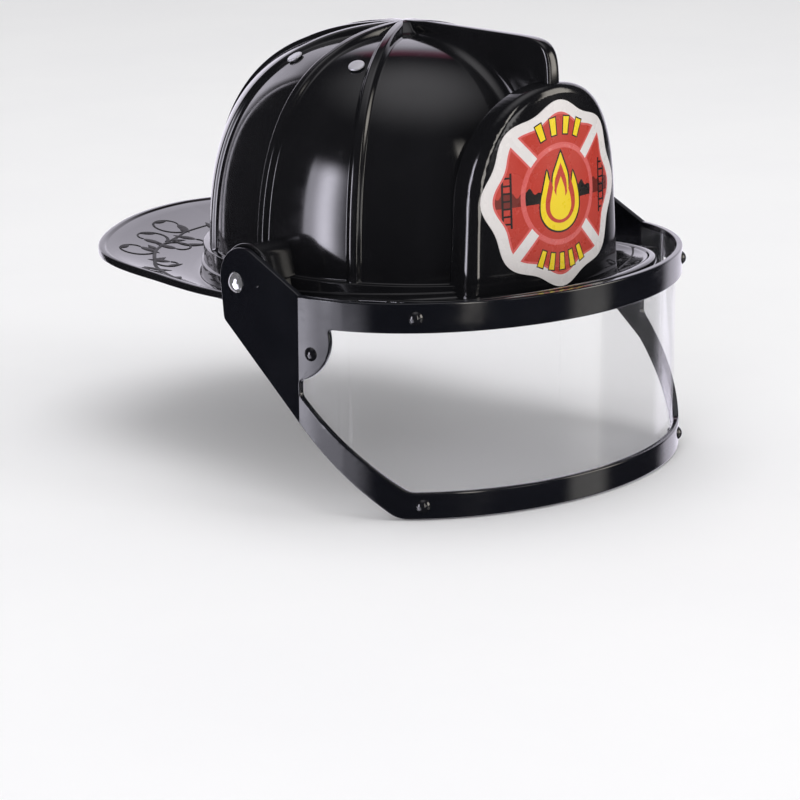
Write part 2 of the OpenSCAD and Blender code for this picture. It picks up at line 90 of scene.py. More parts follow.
PIVOT = Vector(frame["joints"][0]["pos_m"]) / MM
# Where the lower corners of the visor and of its window are, across.
BEND_X, WINDOW_X = 97.4, 92.9
# The emblem's disc, the ring round it, and the ladders' distance from its centre.
DISC_R, RING_R, LADDER_X = 21.6, 23.1, 31.5
STRAP_X = HEAD_A + 3.1
SIDES = (("right", -1), ("left", 1))
ROWS = (("front", STRAP_Y[0]), ("rear", STRAP_Y[1]))
# The dome rivets' heads against the CAD's.
HEAD_GROWN = 1.1
QUARTER = np.radians([0, 30, 60, 90])


# ---------- small maths ----------

def mix(a, b, t):
    return a + (b - a) * t


def smooth(t):
    t = np.clip(t, 0, 1)
    return t * t * (3 - 2 * t)


def spline(values, u):
    """A smooth curve through evenly spaced values."""
    v, n = values, len(values) - 1
    i = min(n - 1, int(math.floor(u)))
    t = u - i
    p, a, b, q = v[max(0, i - 1)], v[i], v[i + 1], v[min(n, i + 2)]
    return a + t / 2 * ((b - p) + t * ((2 * p - 5 * a + 4 * b - q) + t * (3 * (a - b) + q - p)))


def through(points, step=1.5):
    """A smooth open curve through points, sampled about every step."""
    p = np.array(points, float)
    out = []
    for i in range(len(p) - 1):
        n = max(2, int(np.linalg.norm(p[i + 1] - p[i]) / step))
        for k in range(n):
            out.append([spline(p[:, c].tolist(), i + k / n) for c in range(p.shape[1])])
    out.append(p[-1].tolist())
    return np.array(out)


def lengths(p):
    """The length along a line of points up to each of them."""
    return np.concatenate([[0], np.cumsum(np.linalg.norm(np.diff(p, axis=0), axis=1))])


def unit(v):
    return v / np.linalg.norm(v)


def ellipse_at(a, b, th):
    """A point of an ellipse and its outward direction."""
    n = np.array([math.sin(th) / a, -math.cos(th) / b])
    return np.array([a * math.sin(th), -b * math.cos(th)]), unit(n)


def super_arch(half, foot, rise, power):
    """The upper half of a squarish ellipse."""
    full = 2 / power
    arch = []
    for t in np.radians(np.arange(0, 180.1, 3)):
        c = math.cos(t)
        arch.append([half * math.copysign(abs(c) ** full, c), foot + rise * max(0, math.sin(t)) ** full])
    return arch


def arc_points(centre, r, start, end, n):
    return [centre + r * np.array([math.cos(t), math.sin(t)]) for t in np.linspace(start, end, n)]


def series(k, th):
    return k[0] + k[1] * math.cos(th) + k[2] * math.cos(2 * th) + k[3] * math.cos(3 * th)


def row_out(a):
    return max(math.cos(a), 0) ** (2 / DOME_POWER)


def row_up(a):
    return max(math.sin(a), 0) ** (2 / DOME_POWER)


def dome_at(a, th, inset=0.0):
    r = row_out(a)
    return np.array([(HALF_W - inset) * r * math.sin(th), -(HALF_L - inset) * r * math.cos(th),
        (DOME_H - inset) * row_up(a)])


def dome_normal(a, th):
    k = DOME_POWER - 1
    g = np.array([row_out(a) ** k * math.sin(th) / HALF_W, -row_out(a) ** k * math.cos(th) / HALF_L,
        row_up(a) ** k / DOME_H])
    return unit(g)


def dome_place(x, y):
    """The point and the outward direction of the dome above (x, y)."""
    a = math.acos(math.hypot(x / HALF_W, y / HALF_L) ** (DOME_POWER / 2))
    th = math.atan2(x / HALF_W, -y / HALF_L)
    return dome_at(a, th), dome_normal(a, th)


def brim_edge(th):
    """The foot of the brim, its edge and its polar angle, at an ellipse angle."""
    px, py = (HALF_W + 7) * math.sin(th), -(HALF_L + 7) * math.cos(th)
    polar = math.atan2(px, -py)
    return px, py, polar, spline(BRIM_R, min(abs(math.degrees(polar)), 180) / 18)


def brim_point(th, share, back, z):
    px, py, polar, edge = brim_edge(th)
    edge -= back
    m = mix(np.array([px, py]), np.array([edge * math.sin(polar), -edge * math.cos(polar)]), share)
    return [m[0], m[1], mix(series(BRIM_INNER, th), series(BRIM_OUTER, th), share ** 1.5) + z]


def brim_height(x, y):
    """Height of the brim's upper face at a place in plan."""
    th = math.atan2(x / (HALF_W + 7), -y / (HALF_L + 7))
    px, py, _, edge = brim_edge(th)
    foot = math.hypot(px, py)
    share = min(1, max(0, (math.hypot(x, y) - foot) / (edge - LIP_W - foot)))
    return mix(series(BRIM_INNER, th), series(BRIM_OUTER, th), share ** 1.5)


def visor_at(x, inset=0.0):
    return PLAN_Y - (PLAN_B - inset) * math.sqrt(max(0, 1 - (x / (PLAN_A - inset)) ** 2))


# ---------- meshes ----------

def finish_mesh(name, bm, materials, body, stands_for, sharp):
    """Turns the faces outwards and makes the piece."""
    bmesh.ops.recalc_face_normals(bm, faces=bm.faces)
    if bm.calc_volume(signed=True) < 0:
        bmesh.ops.reverse_faces(bm, faces=bm.faces)
    mesh = bpy.data.meshes.new(name)
    bm.to_mesh(mesh)
    bm.free()
    obj = bpy.data.objects.new(name, mesh)
    bpy.context.scene.collection.objects.link(obj)
    for m in materials if isinstance(materials, list) else [materials]:
        mesh.materials.append(m)
    mesh.shade_smooth()
    mesh.set_sharp_from_angle(angle=math.radians(sharp))
    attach(obj, body)
    if stands_for:
        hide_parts(*stands_for)
    return obj


def add_mesh(name, points, faces, materials, body="helmet", slot="black_plastic", stands_for=(),
        sharp=35):
    """A closed mesh from points in millimetres."""
    bm = bmesh.new()
    verts = [bm.verts.new(np.asarray(p) * MM) for p in points]
    for f in faces:
        bm.faces.new([verts[i] for i in f])
    return finish_mesh(name, bm, materials, body, stands_for, sharp)


def grid_faces(rows, columns, start=0):
    """Quads between closed rings of points."""
    return [[start + r * columns + i, start + r * columns + (i + 1) % columns,
        start + (r + 1) * columns + (i + 1) % columns, start + (r + 1) * columns + i]
        for r in range(rows - 1) for i in range(columns)]


def tube_faces(rows, columns):
    """Rings with both ends closed."""
    last = (rows - 1) * columns
    return grid_faces(rows, columns) + [list(range(columns)), [last + k
        for k in reversed(range(columns))]]


def lathe_shape(profile, place, axis, segments):
    """Points and faces of a turned shape; profile is (radius, height) from axis to axis."""
    turn = Vector(axis).to_track_quat("Z", "Y").to_matrix()
    points, faces = [Vector((0, 0, profile[0][1]))], []
    for r, h in profile[1:-1]:
        for k in range(segments):
            t = 2 * math.pi * k / segments
            points.append(Vector((r * math.cos(t), r * math.sin(t), h)))
    points.append(Vector((0, 0, profile[-1][1])))
    rings, last = len(profile) - 2, len(points) - 1
    faces += grid_faces(rings, segments, 1)
    for k in range(segments):
        j = (k + 1) % segments
        faces.append([0, 1 + j, 1 + k])
        faces.append([last, 1 + (rings - 1) * segments + k, 1 + (rings - 1) * segments + j])
    return [np.array(turn @ p + Vector(place)) for p in points], faces


def merged(shapes):
    points, faces = [], []
    for p, f in shapes:
        start = len(points)
        points += list(p)
        faces += [[start + i for i in face] for face in f]
    return points, faces


def softened(loop, corners, steps=6):
    """Rounds some corners of a closed loop; corners gives each one's reach along the loop."""
    p = np.array(loop, float)
    n = len(p)
    ahead = np.roll(p, -1, 0)
    seg = np.linalg.norm(ahead - p, axis=1)
    cum = np.concatenate([[0], np.cumsum(seg)])
    total = cum[-1]

    def at(t):
        t %= total
        i = min(int(np.searchsorted(cum, t, side="right")) - 1, n - 1)
        return mix(p[i], ahead[i], (t - cum[i]) / seg[i])

    out = []
    for i in range(n):
        if i in corners:
            r = corners[i]
            a, c = at(cum[i] - r), at(cum[i] + r)
            out += [(1 - t) ** 2 * a + 2 * t * (1 - t) * p[i] + t * t * c
                for t in np.linspace(0, 1, steps + 1)]
        elif all(min((cum[i] - cum[j]) % total, (cum[j] - cum[i]) % total) > r for j,
                r in corners.items()):
            out.append(p[i])
    return np.array(out)


def area(loop):
    x, y = loop[:, 0], loop[:, 1]
    return 0.5 * float(np.sum(x * np.roll(y, -1) - np.roll(x, -1) * y))


def inset_loop(loop, distance):
    """A loop moved to its left, which is into the material."""
    before, after = np.roll(loop, 1, 0), np.roll(loop, -1, 0)
    d1, d2 = loop - before, after - loop
    d1 /= np.maximum(np.linalg.norm(d1, axis=1), 1e-9)[:, None]
    d2 /= np.maximum(np.linalg.norm(d2, axis=1), 1e-9)[:, None]
    n1, n2 = np.stack([-d1[:, 1], d1[:, 0]], 1), np.stack([-d2[:, 1], d2[:, 0]], 1)
    scale = np.maximum(1 + np.sum(n1 * n2, 1), 0.5)
    return loop + (n1 + n2) / scale[:, None] * distance


def clean(loop, least=0.05):
    keep = [loop[0]]
    for q in loop[1:]:
        if np.linalg.norm(q - keep[-1]) > least:
            keep.append(q)
    if np.linalg.norm(keep[0] - keep[-1]) < least:
        keep.pop()
    return np.array(keep)


def plate(name, outer, holes, profile, cuts, place, materials, sharp_at=(), body="helmet",
        stands_for=()):
    """A plate with rounded edges, drawn flat in (u, v), cut at each u in cuts, then put in place.

    profile is (inset, depth) from the front face round to the back face, and place turns an
    array of (u, v, depth) into an array of (x, y, z). Edges at a u in sharp_at stay sharp."""
    outer = clean(outer if area(outer) > 0 else outer[::-1])
    loops = [outer] + [clean(h if area(h) < 0 else h[::-1]) for h in holes]
    bm = bmesh.new()
    layers = []
    for inset, depth in profile:
        flat = np.concatenate([inset_loop(l, inset) for l in loops])
        layers.append([bm.verts.new((p[0], p[1], depth)) for p in flat])
    start = 0
    for l in loops:
        n = len(l)
        for lower, upper in zip(layers, layers[1:]):
            for i in range(n):
                j = (i + 1) % n
                bm.faces.new([lower[start + i], lower[start + j], upper[start + j], upper[start + i]])
        start += n
    for layer in (layers[0], layers[-1]):
        rings, start = [], 0
        for l in loops:
            rings.append([v.co.to_2d().to_3d() for v in layer[start:start + len(l)]])
            start += len(l)
        for tri in tessellate_polygon(rings):
            corner = [layer[i] for i in tri]
            if len(set(corner)) == 3 and not bm.faces.get(corner):
                bm.faces.new(corner)
    for u in cuts:
        bmesh.ops.bisect_plane(bm, geom=bm.verts[:] + bm.edges[:] + bm.faces[:], dist=1e-3,
            plane_co=(u, 0, 0), plane_no=(1, 0, 0))
    bmesh.ops.dissolve_degenerate(bm, dist=2e-3, edges=bm.edges)
    bm.verts.ensure_lookup_table()
    flat = np.array([v.co for v in bm.verts], float)
    on = [any(abs(p[0] - s) < 0.01 for s in sharp_at) for p in flat]
    for v, p in zip(bm.verts, place(flat) * MM):
        v.co = p
    obj = finish_mesh(name, bm, materials, body, stands_for, 50)
    for e in obj.data.edges:
        if all(on[v] for v in e.vertices):
            e.use_edge_sharp = True
    m = obj.modifiers.new("weighted", "WEIGHTED_NORMAL")
    m.keep_sharp = True
    m.weight = 80


def rounding(radius, thickness, back=None):
    """A plate's edge: both rims rounded."""
    back = radius if back is None else back
    front = [(radius * (1 - math.sin(t)), radius * (1 - math.cos(t))) for t in QUARTER]
    return front + [(back * (1 - math.cos(t)), thickness - back * (1 - math.sin(t))) for t in QUARTER]


class Plan:
    """A curve in a plane with its length along it and the direction out of it."""

    def __init__(self, points, out):
        self.p = np.array(points, float)
        d = np.gradient(self.p, axis=0)
        d /= np.linalg.norm(d, axis=1)[:, None]
        self.n = np.stack([d[:, 1], -d[:, 0]], 1)
        if np.sum(self.n * (self.p - np.array(out))) < 0:
            self.n = -self.n
        self.s = lengths(self.p)

    def at(self, s, depth):
        x = np.interp(s, self.s, self.p[:, 0]) - np.interp(s, self.s, self.n[:, 0]) * depth
        y = np.interp(s, self.s, self.p[:, 1]) - np.interp(s, self.s, self.n[:, 1]) * depth
        return x, y


def circle_loop(cx, cy, r, n):
    t = np.linspace(0, 2 * math.pi, n, endpoint=False)
    return np.stack([cx + r * np.cos(t), cy + r * np.sin(t)], 1)


# ---------- materials ----------

class Graph:
    """Short names for building a node tree."""

    def __init__(self, tree):
        self.tree = tree

    def add(self, kind, **settings):
        node = self.tree.nodes.new(kind)
        for key, value in settings.items():
            setattr(node, key, value)
        return node

    def link(self, a, b):
        self.tree.links.new(a, b)

    def put(self, socket, value):
        if isinstance(value, bpy.types.NodeSocket):
            self.link(value, socket)
        else:
            socket.default_value = value

    def filled(self, kind, *values):
        """The first output of a node whose first inputs are given."""
        node = self.add(kind)
        for socket, value in zip(node.inputs, values):
            self.put(socket, value)
        return node.outputs[0]

    def maths(self, operation, *values):
        node = self.add("ShaderNodeMath", operation=operation)
        for socket, value in zip(node.inputs, values):
            self.put(socket, value)
        return node.outputs[0]

    def ramp(self, value, low, high, a=0.0, b=1.0, shape="LINEAR"):
        node = self.add("ShaderNodeMapRange", interpolation_type=shape)
        for key, v in zip(("Value", "From Min", "From Max", "To Min", "To Max"),
                (value, low, high, a, b)):
            self.put(node.inputs[key], v)
        return node.outputs["Result"]


class Nodes(Graph):
    """A node material."""

    def __init__(self, name):
        self.material = bpy.data.materials.new(name)
        self.material.use_nodes = True
        super().__init__(self.material.node_tree)
        self.shader = self.tree.nodes["Principled BSDF"]
        self.coords = self.add("ShaderNodeTexCoord").outputs["Object"]

    def noise(self, scale, detail, roughness, stretch=None):
        node = self.add("ShaderNodeTexNoise")
        for key, value in zip(("Scale", "Detail", "Roughness"), (scale, detail, roughness)):
            node.inputs[key].default_value = value
        source = self.coords
        if stretch:
            mapping = self.add("ShaderNodeMapping")
            mapping.inputs["Scale"].default_value = stretch
            self.link(source, mapping.inputs["Vector"])
            source = mapping.outputs["Vector"]
        self.link(source, node.inputs["Vector"])
        return node.outputs["Fac"]

    def colour(self, fac, a, b):
        node = self.add("ShaderNodeMix", data_type="RGBA")
        self.put(node.inputs["Factor"], fac)
        self.put(node.inputs[6], (*a, 1) if isinstance(a, tuple) else a)
        self.put(node.inputs[7], (*b, 1) if isinstance(b, tuple) else b)
        return node.outputs[2]

    def bump(self, height, strength, distance, below=None):
        node = self.add("ShaderNodeBump")
        node.inputs["Strength"].default_value = strength
        node.inputs["Distance"].default_value = distance
        self.link(height, node.inputs["Height"])
        if below is not None:
            self.link(below, node.inputs["Normal"])
        return node.outputs["Normal"]

    def set(self, **values):
        for key, value in values.items():
            self.put(self.shader.inputs[key.replace("_", " ")], value)

    def surface(self, shader):
        self.link(shader, self.tree.nodes["Material Output"].inputs["Surface"])


def plastic(name, dark, light, rough, grain=260.0, grain_depth=0.00002, smudge=0.10, coat=0.0, specks=0.0,
        edge=0.0, flow=(1, 1, 1)):
    """Moulded plastic: cloudy gloss, fine grain, flow marks, dust specks and worn edges."""
    n = Nodes(name)
    cloud = n.noise(22, 5, 0.6, stretch=flow)
    base = n.colour(n.ramp(cloud, 0.35, 0.7), dark, light)
    if specks:
        dust = n.ramp(n.noise(900, 2, 0.6), 0.74, 0.80)
        patch = n.ramp(n.noise(18, 3, 0.6), 0.5, 0.72)
        base = n.colour(n.maths("MULTIPLY", n.maths("MULTIPLY", dust, patch), specks), base,
            (0.35, 0.34, 0.36))
    if edge:
        geometry = n.add("ShaderNodeNewGeometry")
        bevel = n.add("ShaderNodeBevel", samples=4)
        bevel.inputs["Radius"].default_value = 0.0009
        turn = n.add("ShaderNodeVectorMath", operation="DOT_PRODUCT")
        n.link(bevel.outputs[0], turn.inputs[0])
        n.link(geometry.outputs["Normal"], turn.inputs[1])
        worn = n.maths("MULTIPLY", n.ramp(turn.outputs["Value"], 0.80, 0.97, 1.0, 0.0),
            n.ramp(n.noise(90, 4, 0.7), 0.42, 0.62))
        base = n.colour(n.maths("MULTIPLY", worn, edge), base, tuple(0.5 * (c + 0.25) for c in light))
    wipe = n.ramp(n.noise(60, 6, 0.65, stretch=(1, 0.25, 1)), 0.4, 0.75)
    gloss = n.maths("ADD", n.maths("MULTIPLY", wipe, smudge), rough)
    scratch = n.ramp(n.noise(150, 3, 0.7, stretch=(0.06, 1, 1)), 0.62, 0.70)
    gloss = n.maths("ADD", gloss, n.maths("MULTIPLY", scratch, smudge * 0.6))
    ripple = n.bump(n.noise(34, 2, 0.4), 0.12, 0.0004)
    fine = n.bump(n.noise(grain * 10, 2, 0.5), 0.16, grain_depth, ripple)
    n.set(Base_Color=base, Roughness=gloss, Normal=fine, Coat_Weight=coat, Coat_Roughness=0.04)
    return n.material


def metal(name, base, rough, spread, scale, brushed=(1, 1, 1), metallic=1.0):
    n = Nodes(name)
    cloud = n.noise(scale, 4, 0.6)
    tint = n.colour(n.ramp(cloud, 0.3, 0.7), tuple(c * 0.86 for c in base), base)
    lines = n.noise(900, 3, 0.6, stretch=brushed)
    gloss = n.maths("ADD", n.ramp(cloud, 0.35, 0.75, rough, rough + spread),
        n.ramp(lines, 0.4, 0.7, 0.0, spread * 0.5))
    n.set(Base_Color=tint, Metallic=metallic, Roughness=gloss, Normal=n.bump(lines, 0.3, 0.00003))
    return n.material


def printed(name, ink, pale):
    """Gloss vinyl print: ink mottled at dot scale over a slightly wavy film."""
    n = Nodes(name)
    dots = n.ramp(n.noise(2600, 1, 0.5), 0.42, 0.62)
    wash = n.ramp(n.noise(36, 3, 0.5), 0.35, 0.7)
    base = n.colour(n.maths("MULTIPLY", dots, 0.35), ink, pale)
    base = n.colour(n.maths("MULTIPLY", wash, 0.25), base, pale)
    film = n.bump(n.noise(40, 2, 0.4), 0.15, 0.0004)
    n.set(Base_Color=base, Roughness=n.ramp(n.noise(70, 4, 0.6), 0.3, 0.7, 0.22, 0.34), Normal=film,
        Coat_Weight=0.5, Coat_Roughness=0.08)
    return n.material


def fabric(name, dark, light):
    """Knitted fabric over foam."""
    n = Nodes(name)
    across = n.add("ShaderNodeTexWave", wave_type="BANDS", bands_direction="Z")
    along = n.add("ShaderNodeTexWave", wave_type="BANDS", bands_direction="X")
    for wave in (across, along):
        wave.inputs["Scale"].default_value = 420
        wave.inputs["Distortion"].default_value = 1.5
        wave.inputs["Detail"].default_value = 1
        n.link(n.coords, wave.inputs["Vector"])
    knit = n.maths("MULTIPLY", across.outputs["Fac"], along.outputs["Fac"])
    fuzz = n.noise(1400, 4, 0.7)
    height = n.maths("ADD", knit, n.maths("MULTIPLY", fuzz, 0.5))
    base = n.colour(n.ramp(height, 0.2, 1.1), dark, light)
    n.set(Base_Color=base, Roughness=0.92, Sheen_Weight=0.35, Normal=n.bump(height, 0.6, 0.0003))
    return n.material


def clear_sheet(name):
    """Thin clear film: see-through, glossy at a slant, with a little haze and fine scratches."""
    n = Nodes(name)
    wave = n.bump(n.noise(9, 1, 0.4), 0.10, 0.0006)
    n.set(Base_Color=(0.9, 0.9, 0.93, 1), Roughness=n.ramp(n.noise(30, 4, 0.6), 0.3, 0.8, 0.03, 0.10),
        Normal=wave, Specular_IOR_Level=0.5)
    clear = n.add("ShaderNodeBsdfTransparent")
    clear.inputs["Color"].default_value = (0.985, 0.985, 0.99, 1)
    gloss = n.add("ShaderNodeBsdfGlossy")
    gloss.inputs["Roughness"].default_value = 0.05
    n.link(wave, gloss.inputs["Normal"])
    fresnel = n.add("ShaderNodeFresnel")
    fresnel.inputs["IOR"].default_value = 1.30
    film = n.filled("ShaderNodeMixShader", n.maths("MULTIPLY", fresnel.outputs[0], 0.18),
        clear.outputs[0], gloss.outputs[0])
    haze = n.ramp(n.noise(9, 4, 0.6, stretch=(1, 1, 0.5)), 0.3, 0.8, 0.012, 0.04)
    scratch = n.ramp(n.noise(110, 2, 0.6, stretch=(1, 1, 0.05)), 0.68, 0.74, 0.0, 0.05)
    n.surface(n.filled("ShaderNodeMixShader", n.maths("ADD", haze, scratch), film, n.shader.outputs[0]))
    return n.material


shell_black = plastic("shell_black", (0.0065, 0.0065, 0.0075), (0.011, 0.011, 0.0125), 0.075, smudge=0.10,
    coat=0.35, specks=0.5, edge=0.25, flow=(1, 1, 0.3))
relief_black = plastic("relief_black", (0.008, 0.008, 0.009), (0.014, 0.014, 0.016), 0.5, grain=160,
    grain_depth=0.00006, smudge=0.15)
frame_black = plastic("frame_black", (0.0055, 0.006, 0.0085), (0.009, 0.0095, 0.013), 0.09, smudge=0.12,
    coat=0.3, specks=0.35, edge=0.3, flow=(0.3, 1, 1))
rivet_black = plastic("rivet_black", (0.006, 0.006, 0.008), (0.012, 0.012, 0.014), 0.07, smudge=0.06,
    coat=0.4)
strap_black = plastic("strap_black", (0.012, 0.012, 0.014), (0.024, 0.024, 0.027), 0.38, grain=120,
    grain_depth=0.00008, smudge=0.2, edge=0.2)
band_white = plastic("band_white", (0.62, 0.60, 0.55), (0.74, 0.72, 0.67), 0.36, grain=120,
    grain_depth=0.00006, smudge=0.15)
chrome = metal("chrome", (0.86, 0.85, 0.88), 0.06, 0.08, scale=90, metallic=0.8)
satin = metal("satin_steel", (0.66, 0.65, 0.70), 0.36, 0.14, scale=140, brushed=(1, 0.15, 1),
    metallic=0.5)
zinc = metal("zinc", (0.58, 0.59, 0.61), 0.32, 0.22, scale=260)
pad_cloth = fabric("pad_cloth", (0.022, 0.022, 0.024), (0.085, 0.085, 0.09))
thread = fabric("pad_thread", (0.10, 0.10, 0.11), (0.22, 0.22, 0.23))
clear = clear_sheet("clear_film")
print_white = printed("print_white", (0.80, 0.76, 0.74), (0.86, 0.83, 0.81))
print_red = printed("print_red", (0.52, 0.040, 0.024), (0.62, 0.085, 0.06))
print_rose = printed("print_rose", (0.70, 0.115, 0.105), (0.76, 0.20, 0.18))
print_yellow = printed("print_yellow", (0.93, 0.68, 0.006), (0.95, 0.75, 0.05))
print_black = printed("print_black", (0.012, 0.010, 0.010), (0.030, 0.020, 0.018))
print_smoke = printed("print_smoke", (0.16, 0.020, 0.014), (0.23, 0.035, 0.025))


# ---------- shell: one closed grid of rows and columns ----------

SECTORS, SECTOR, WIDEST_TURN = 12, math.radians(30), math.radians(13.2)


def rib_profile(d):
    return 1 - smooth((d - RIB_TOP) / (RIB_FOOT - RIB_TOP))


def crest_section(height, half, spread):
    """Half of the crest's section from its flared foot to its top: (distance out, height)."""
    foot, top = min(6.5, 0.55 * height) * spread, min(1.7, 0.3 * height)
    part = [(half + foot * (1 - math.sin(t)), foot * (1 - math.cos(t)))
        for t in np.radians([0, 18, 36, 54, 72, 90])]
    part += [(half - 0.5 * t, mix(foot, height - top, t)) for t in (0.12, 0.3, 0.5, 0.7, 0.88, 1)]
    part += [(half - 0.5 - top * (1 - math.cos(t)), height - top + top * math.sin(t))
        for t in np.radians([22, 45, 67, 90])]
    return part


def shell_columns():
    """Each column as (sector angle, kind, side, value)."""
    columns = []
    rib_steps = [RIB_FOOT * 1.06, RIB_FOOT, 3.5, 3.15, 2.8, 2.45, 2.1, 1.75, 1.4, 0.8]
    panel = [1.0, 0.86, 0.72, 0.58, 0.44, 0.3, 0.18, 0.08]
    for s in range(SECTORS):
        c = s * SECTOR
        if s in (1, SECTORS - 1):
            columns += [(c, "open", 0, x) for x in np.linspace(-1, 1, 17)[:-1]]
            continue
        kind, inner = ("crest", list(range(16))) if s == 0 else ("rib", rib_steps)
        columns += [(c, "panel", -1, f) for f in panel]
        columns += [(c, kind, -1, v) for v in inner]
        columns.append((c, kind, 0, 0))
        columns += [(c, kind, 1, v) for v in reversed(inner)]
        columns += [(c, "panel", 1, f) for f in reversed(panel[1:])]
    return columns


COLUMNS = shell_columns()


def crest_scale(p):
    far = (abs(p[1]) / CREST_Y) ** CREST_POWER + (p[2] / CREST_Z) ** CREST_POWER
    return far ** (-1 / CREST_POWER)


def row_columns(a):
    """For each column at a dome row: its angle, its rise and how it rises."""
    rho = row_out(a)
    r = rho * 0.5 * (HALF_W + HALF_L)
    rib = mix(HUB_H, RIB_H, min(1, rho * 2))
    hub = HUB_H * float(smooth((HUB_R + 6 - r) / 6))
    centre = dome_at(a, 0)
    height = np.linalg.norm(centre) * (max(1.0, crest_scale(centre)) - 1)
    height = mix(HUB_H, height, float(smooth(r / 16)))
    half = mix(2.6, CREST_HALF, min(1, r / 80))
    section = crest_section(max(height, 0.4), half, mix(0.2, 1, float(smooth(r / 45))))
    out = []
    for c, kind, side, v in COLUMNS:
        if kind == "open":
            out.append((c + v * SECTOR / 2, hub, "normal"))
            continue
        widest = RIB_FOOT * 1.06 if c else section[0][0]

        def turn(d):
            return min(math.asin(min(1, d / max(r, 1e-6))), WIDEST_TURN * d / widest)

        if kind == "panel":
            out.append((c + side * mix(turn(widest), SECTOR / 2, v), hub, "normal"))
        elif kind == "rib":
            t = turn(v) if side else 0.0
            out.append((c + side * t, max(hub, rib * float(rib_profile(r * math.sin(t)))), "normal"))
        else:
            d, h = section[v] if side else (0.0, section[-1][1] + 0.15)
            out.append((c + side * turn(d), max(h, hub if r < 12 else 0), "radial"))
    return out


def dome_row(a):
    row = []
    for th, rise, way in row_columns(a):
        p = dome_at(a, th)
        if way == "radial":
            u = np.array([0, p[1], p[2]])
            n = u / max(np.linalg.norm(u), 1e-9)
        else:
            n = dome_normal(a, th)
        row.append(p + n * rise)
    return row


def even_rows(top, bottom, step, fine):
    """Row angles at even steps along the dome's side, closer where the crest turns its corner."""
    angles = np.radians(np.linspace(top, bottom, 2000))
    pts = np.array([dome_at(a, math.pi / 2) for a in angles])
    out, last = [angles[0]], 0.0
    for a, d in zip(angles, lengths(pts)):
        gap = fine if 38 < math.degrees(a) < 56 else step
        if d - last >= gap:
            out.append(a)
            last = d
    return out


def shell_rows():
    foot = row_columns(math.radians(1.4))
    angle = [c[0] for c in foot]
    rise = [c[1] for c in foot]
    rows = [dome_row(a) for a in even_rows(88.6, 0.9, 2.5, 1.4)]
    rows = [r for r in rows if r[0][2] > COLLAR_TOP + 1.1]

    def ring(out, share, dz, over=None):
        """A ring at a share of the way up from the brim's foot to the collar's top, plus dz."""
        row = []
        for th, up in zip(angle, rise):
            o = out if over is None else max(out, up * 0.96 + over)
            z = mix(series(BRIM_INNER, th), COLLAR_TOP, share) + dz
            row.append([(HALF_W + o) * math.sin(th), -(HALF_L + o) * math.cos(th), z])
        return row

    def brim(share, back, z):
        return [brim_point(th, share, back, z) for th in angle]

    rows += [ring(*at) for at in ((0.02, 1, 0.8, 0), (0.25, 1, 0.3, 0.05), (0.9, 1, 0.02, 0.2),
        (COLLAR_OUT - 0.5, 1, 0), (COLLAR_OUT - 0.16, 1, -0.12), (COLLAR_OUT, 1, -0.5),
        (COLLAR_OUT, COLLAR_STEP, 0.4), (COLLAR_OUT + 0.15, COLLAR_STEP, 0.1),
        (COLLAR_FOOT - 0.45, COLLAR_STEP, 0), (COLLAR_FOOT - 0.12, COLLAR_STEP, -0.12),
        (COLLAR_FOOT, COLLAR_STEP, -0.45))]
    low = ring(COLLAR_FOOT, 0, 2.2)
    step = ring(COLLAR_FOOT, COLLAR_STEP, -0.6)
    rows.append([min(p, q, key=lambda c: c[2]) for p, q in zip(low, step)])
    rows += [ring(COLLAR_FOOT + 0.35, 0, 1.0), ring(COLLAR_FOOT + 1.1, 0, 0.3)]
    rows += [brim(s, LIP_W + 0.5, 0) for s in (0, 0.08, 0.18, 0.3, 0.42, 0.54, 0.66, 0.78, 0.9, 1)]
    edge = [(4.5, 0.02), (4.2, 0.18), (3.8, 0.55), (3.4, 0.82), (2.9, 0.97), (2.2, 1.0), (1.5, 0.98),
        (0.9, 0.88), (0.4, 0.6), (0.1, 0.2), (0, -0.3), (0, -2.1), (0.12, -2.45), (0.45, -2.66),
        (0.9, -2.7), (1.7, -2.7), (2.0, -2.62), (2.3, -2.4)]
    rows += [brim(1, b, z) for b, z in edge]
    rows += [brim(s, LIP_W, -WALL) for s in (0.9, 0.7, 0.5, 0.3, 0.12)]
    rows += [ring(out, 0, dz) for out, dz in ((5.2, -WALL), (3.4, -WALL - 0.4), (2.9, -WALL - 1.0),
        (2.8, -4.1), (2.5, -4.4), (0.8, -4.4), (0.4, -4.1))]
    rows += [ring(0.4, 0.5, -0.5 * COLLAR_TOP), ring(0.2, 1, 0.3 - COLLAR_TOP)]
    for a in reversed(even_rows(86, 2, 6.0, 4.0)):
        rows.append([dome_at(a, th, WALL) for th in angle])
    return rows


def make_shell():
    rows = shell_rows()
    n = len(COLUMNS)
    points = [p for row in rows for p in row]
    faces = grid_faces(len(rows), n)
    top, bottom = len(points), len(points) + 1
    points += [[0, 0, DOME_H + HUB_H], [0, 0, DOME_H - WALL]]
    last = (len(rows) - 1) * n
    faces += [[top, (i + 1) % n, i] for i in range(n)]
    faces += [[bottom, last + i, last + (i + 1) % n] for i in range(n)]
    add_mesh("shell_moulding", points, faces, shell_black, stands_for=["shell"], sharp=60)


make_shell()


# ---------- vine relief on the brim ----------

def from_rear(angle, radius, side):
    t = math.radians(angle)
    return [side * radius * math.sin(t), radius * math.cos(t)]


def on_brim(q, h):
    return [q[0], q[1], brim_height(q[0], q[1]) + h]


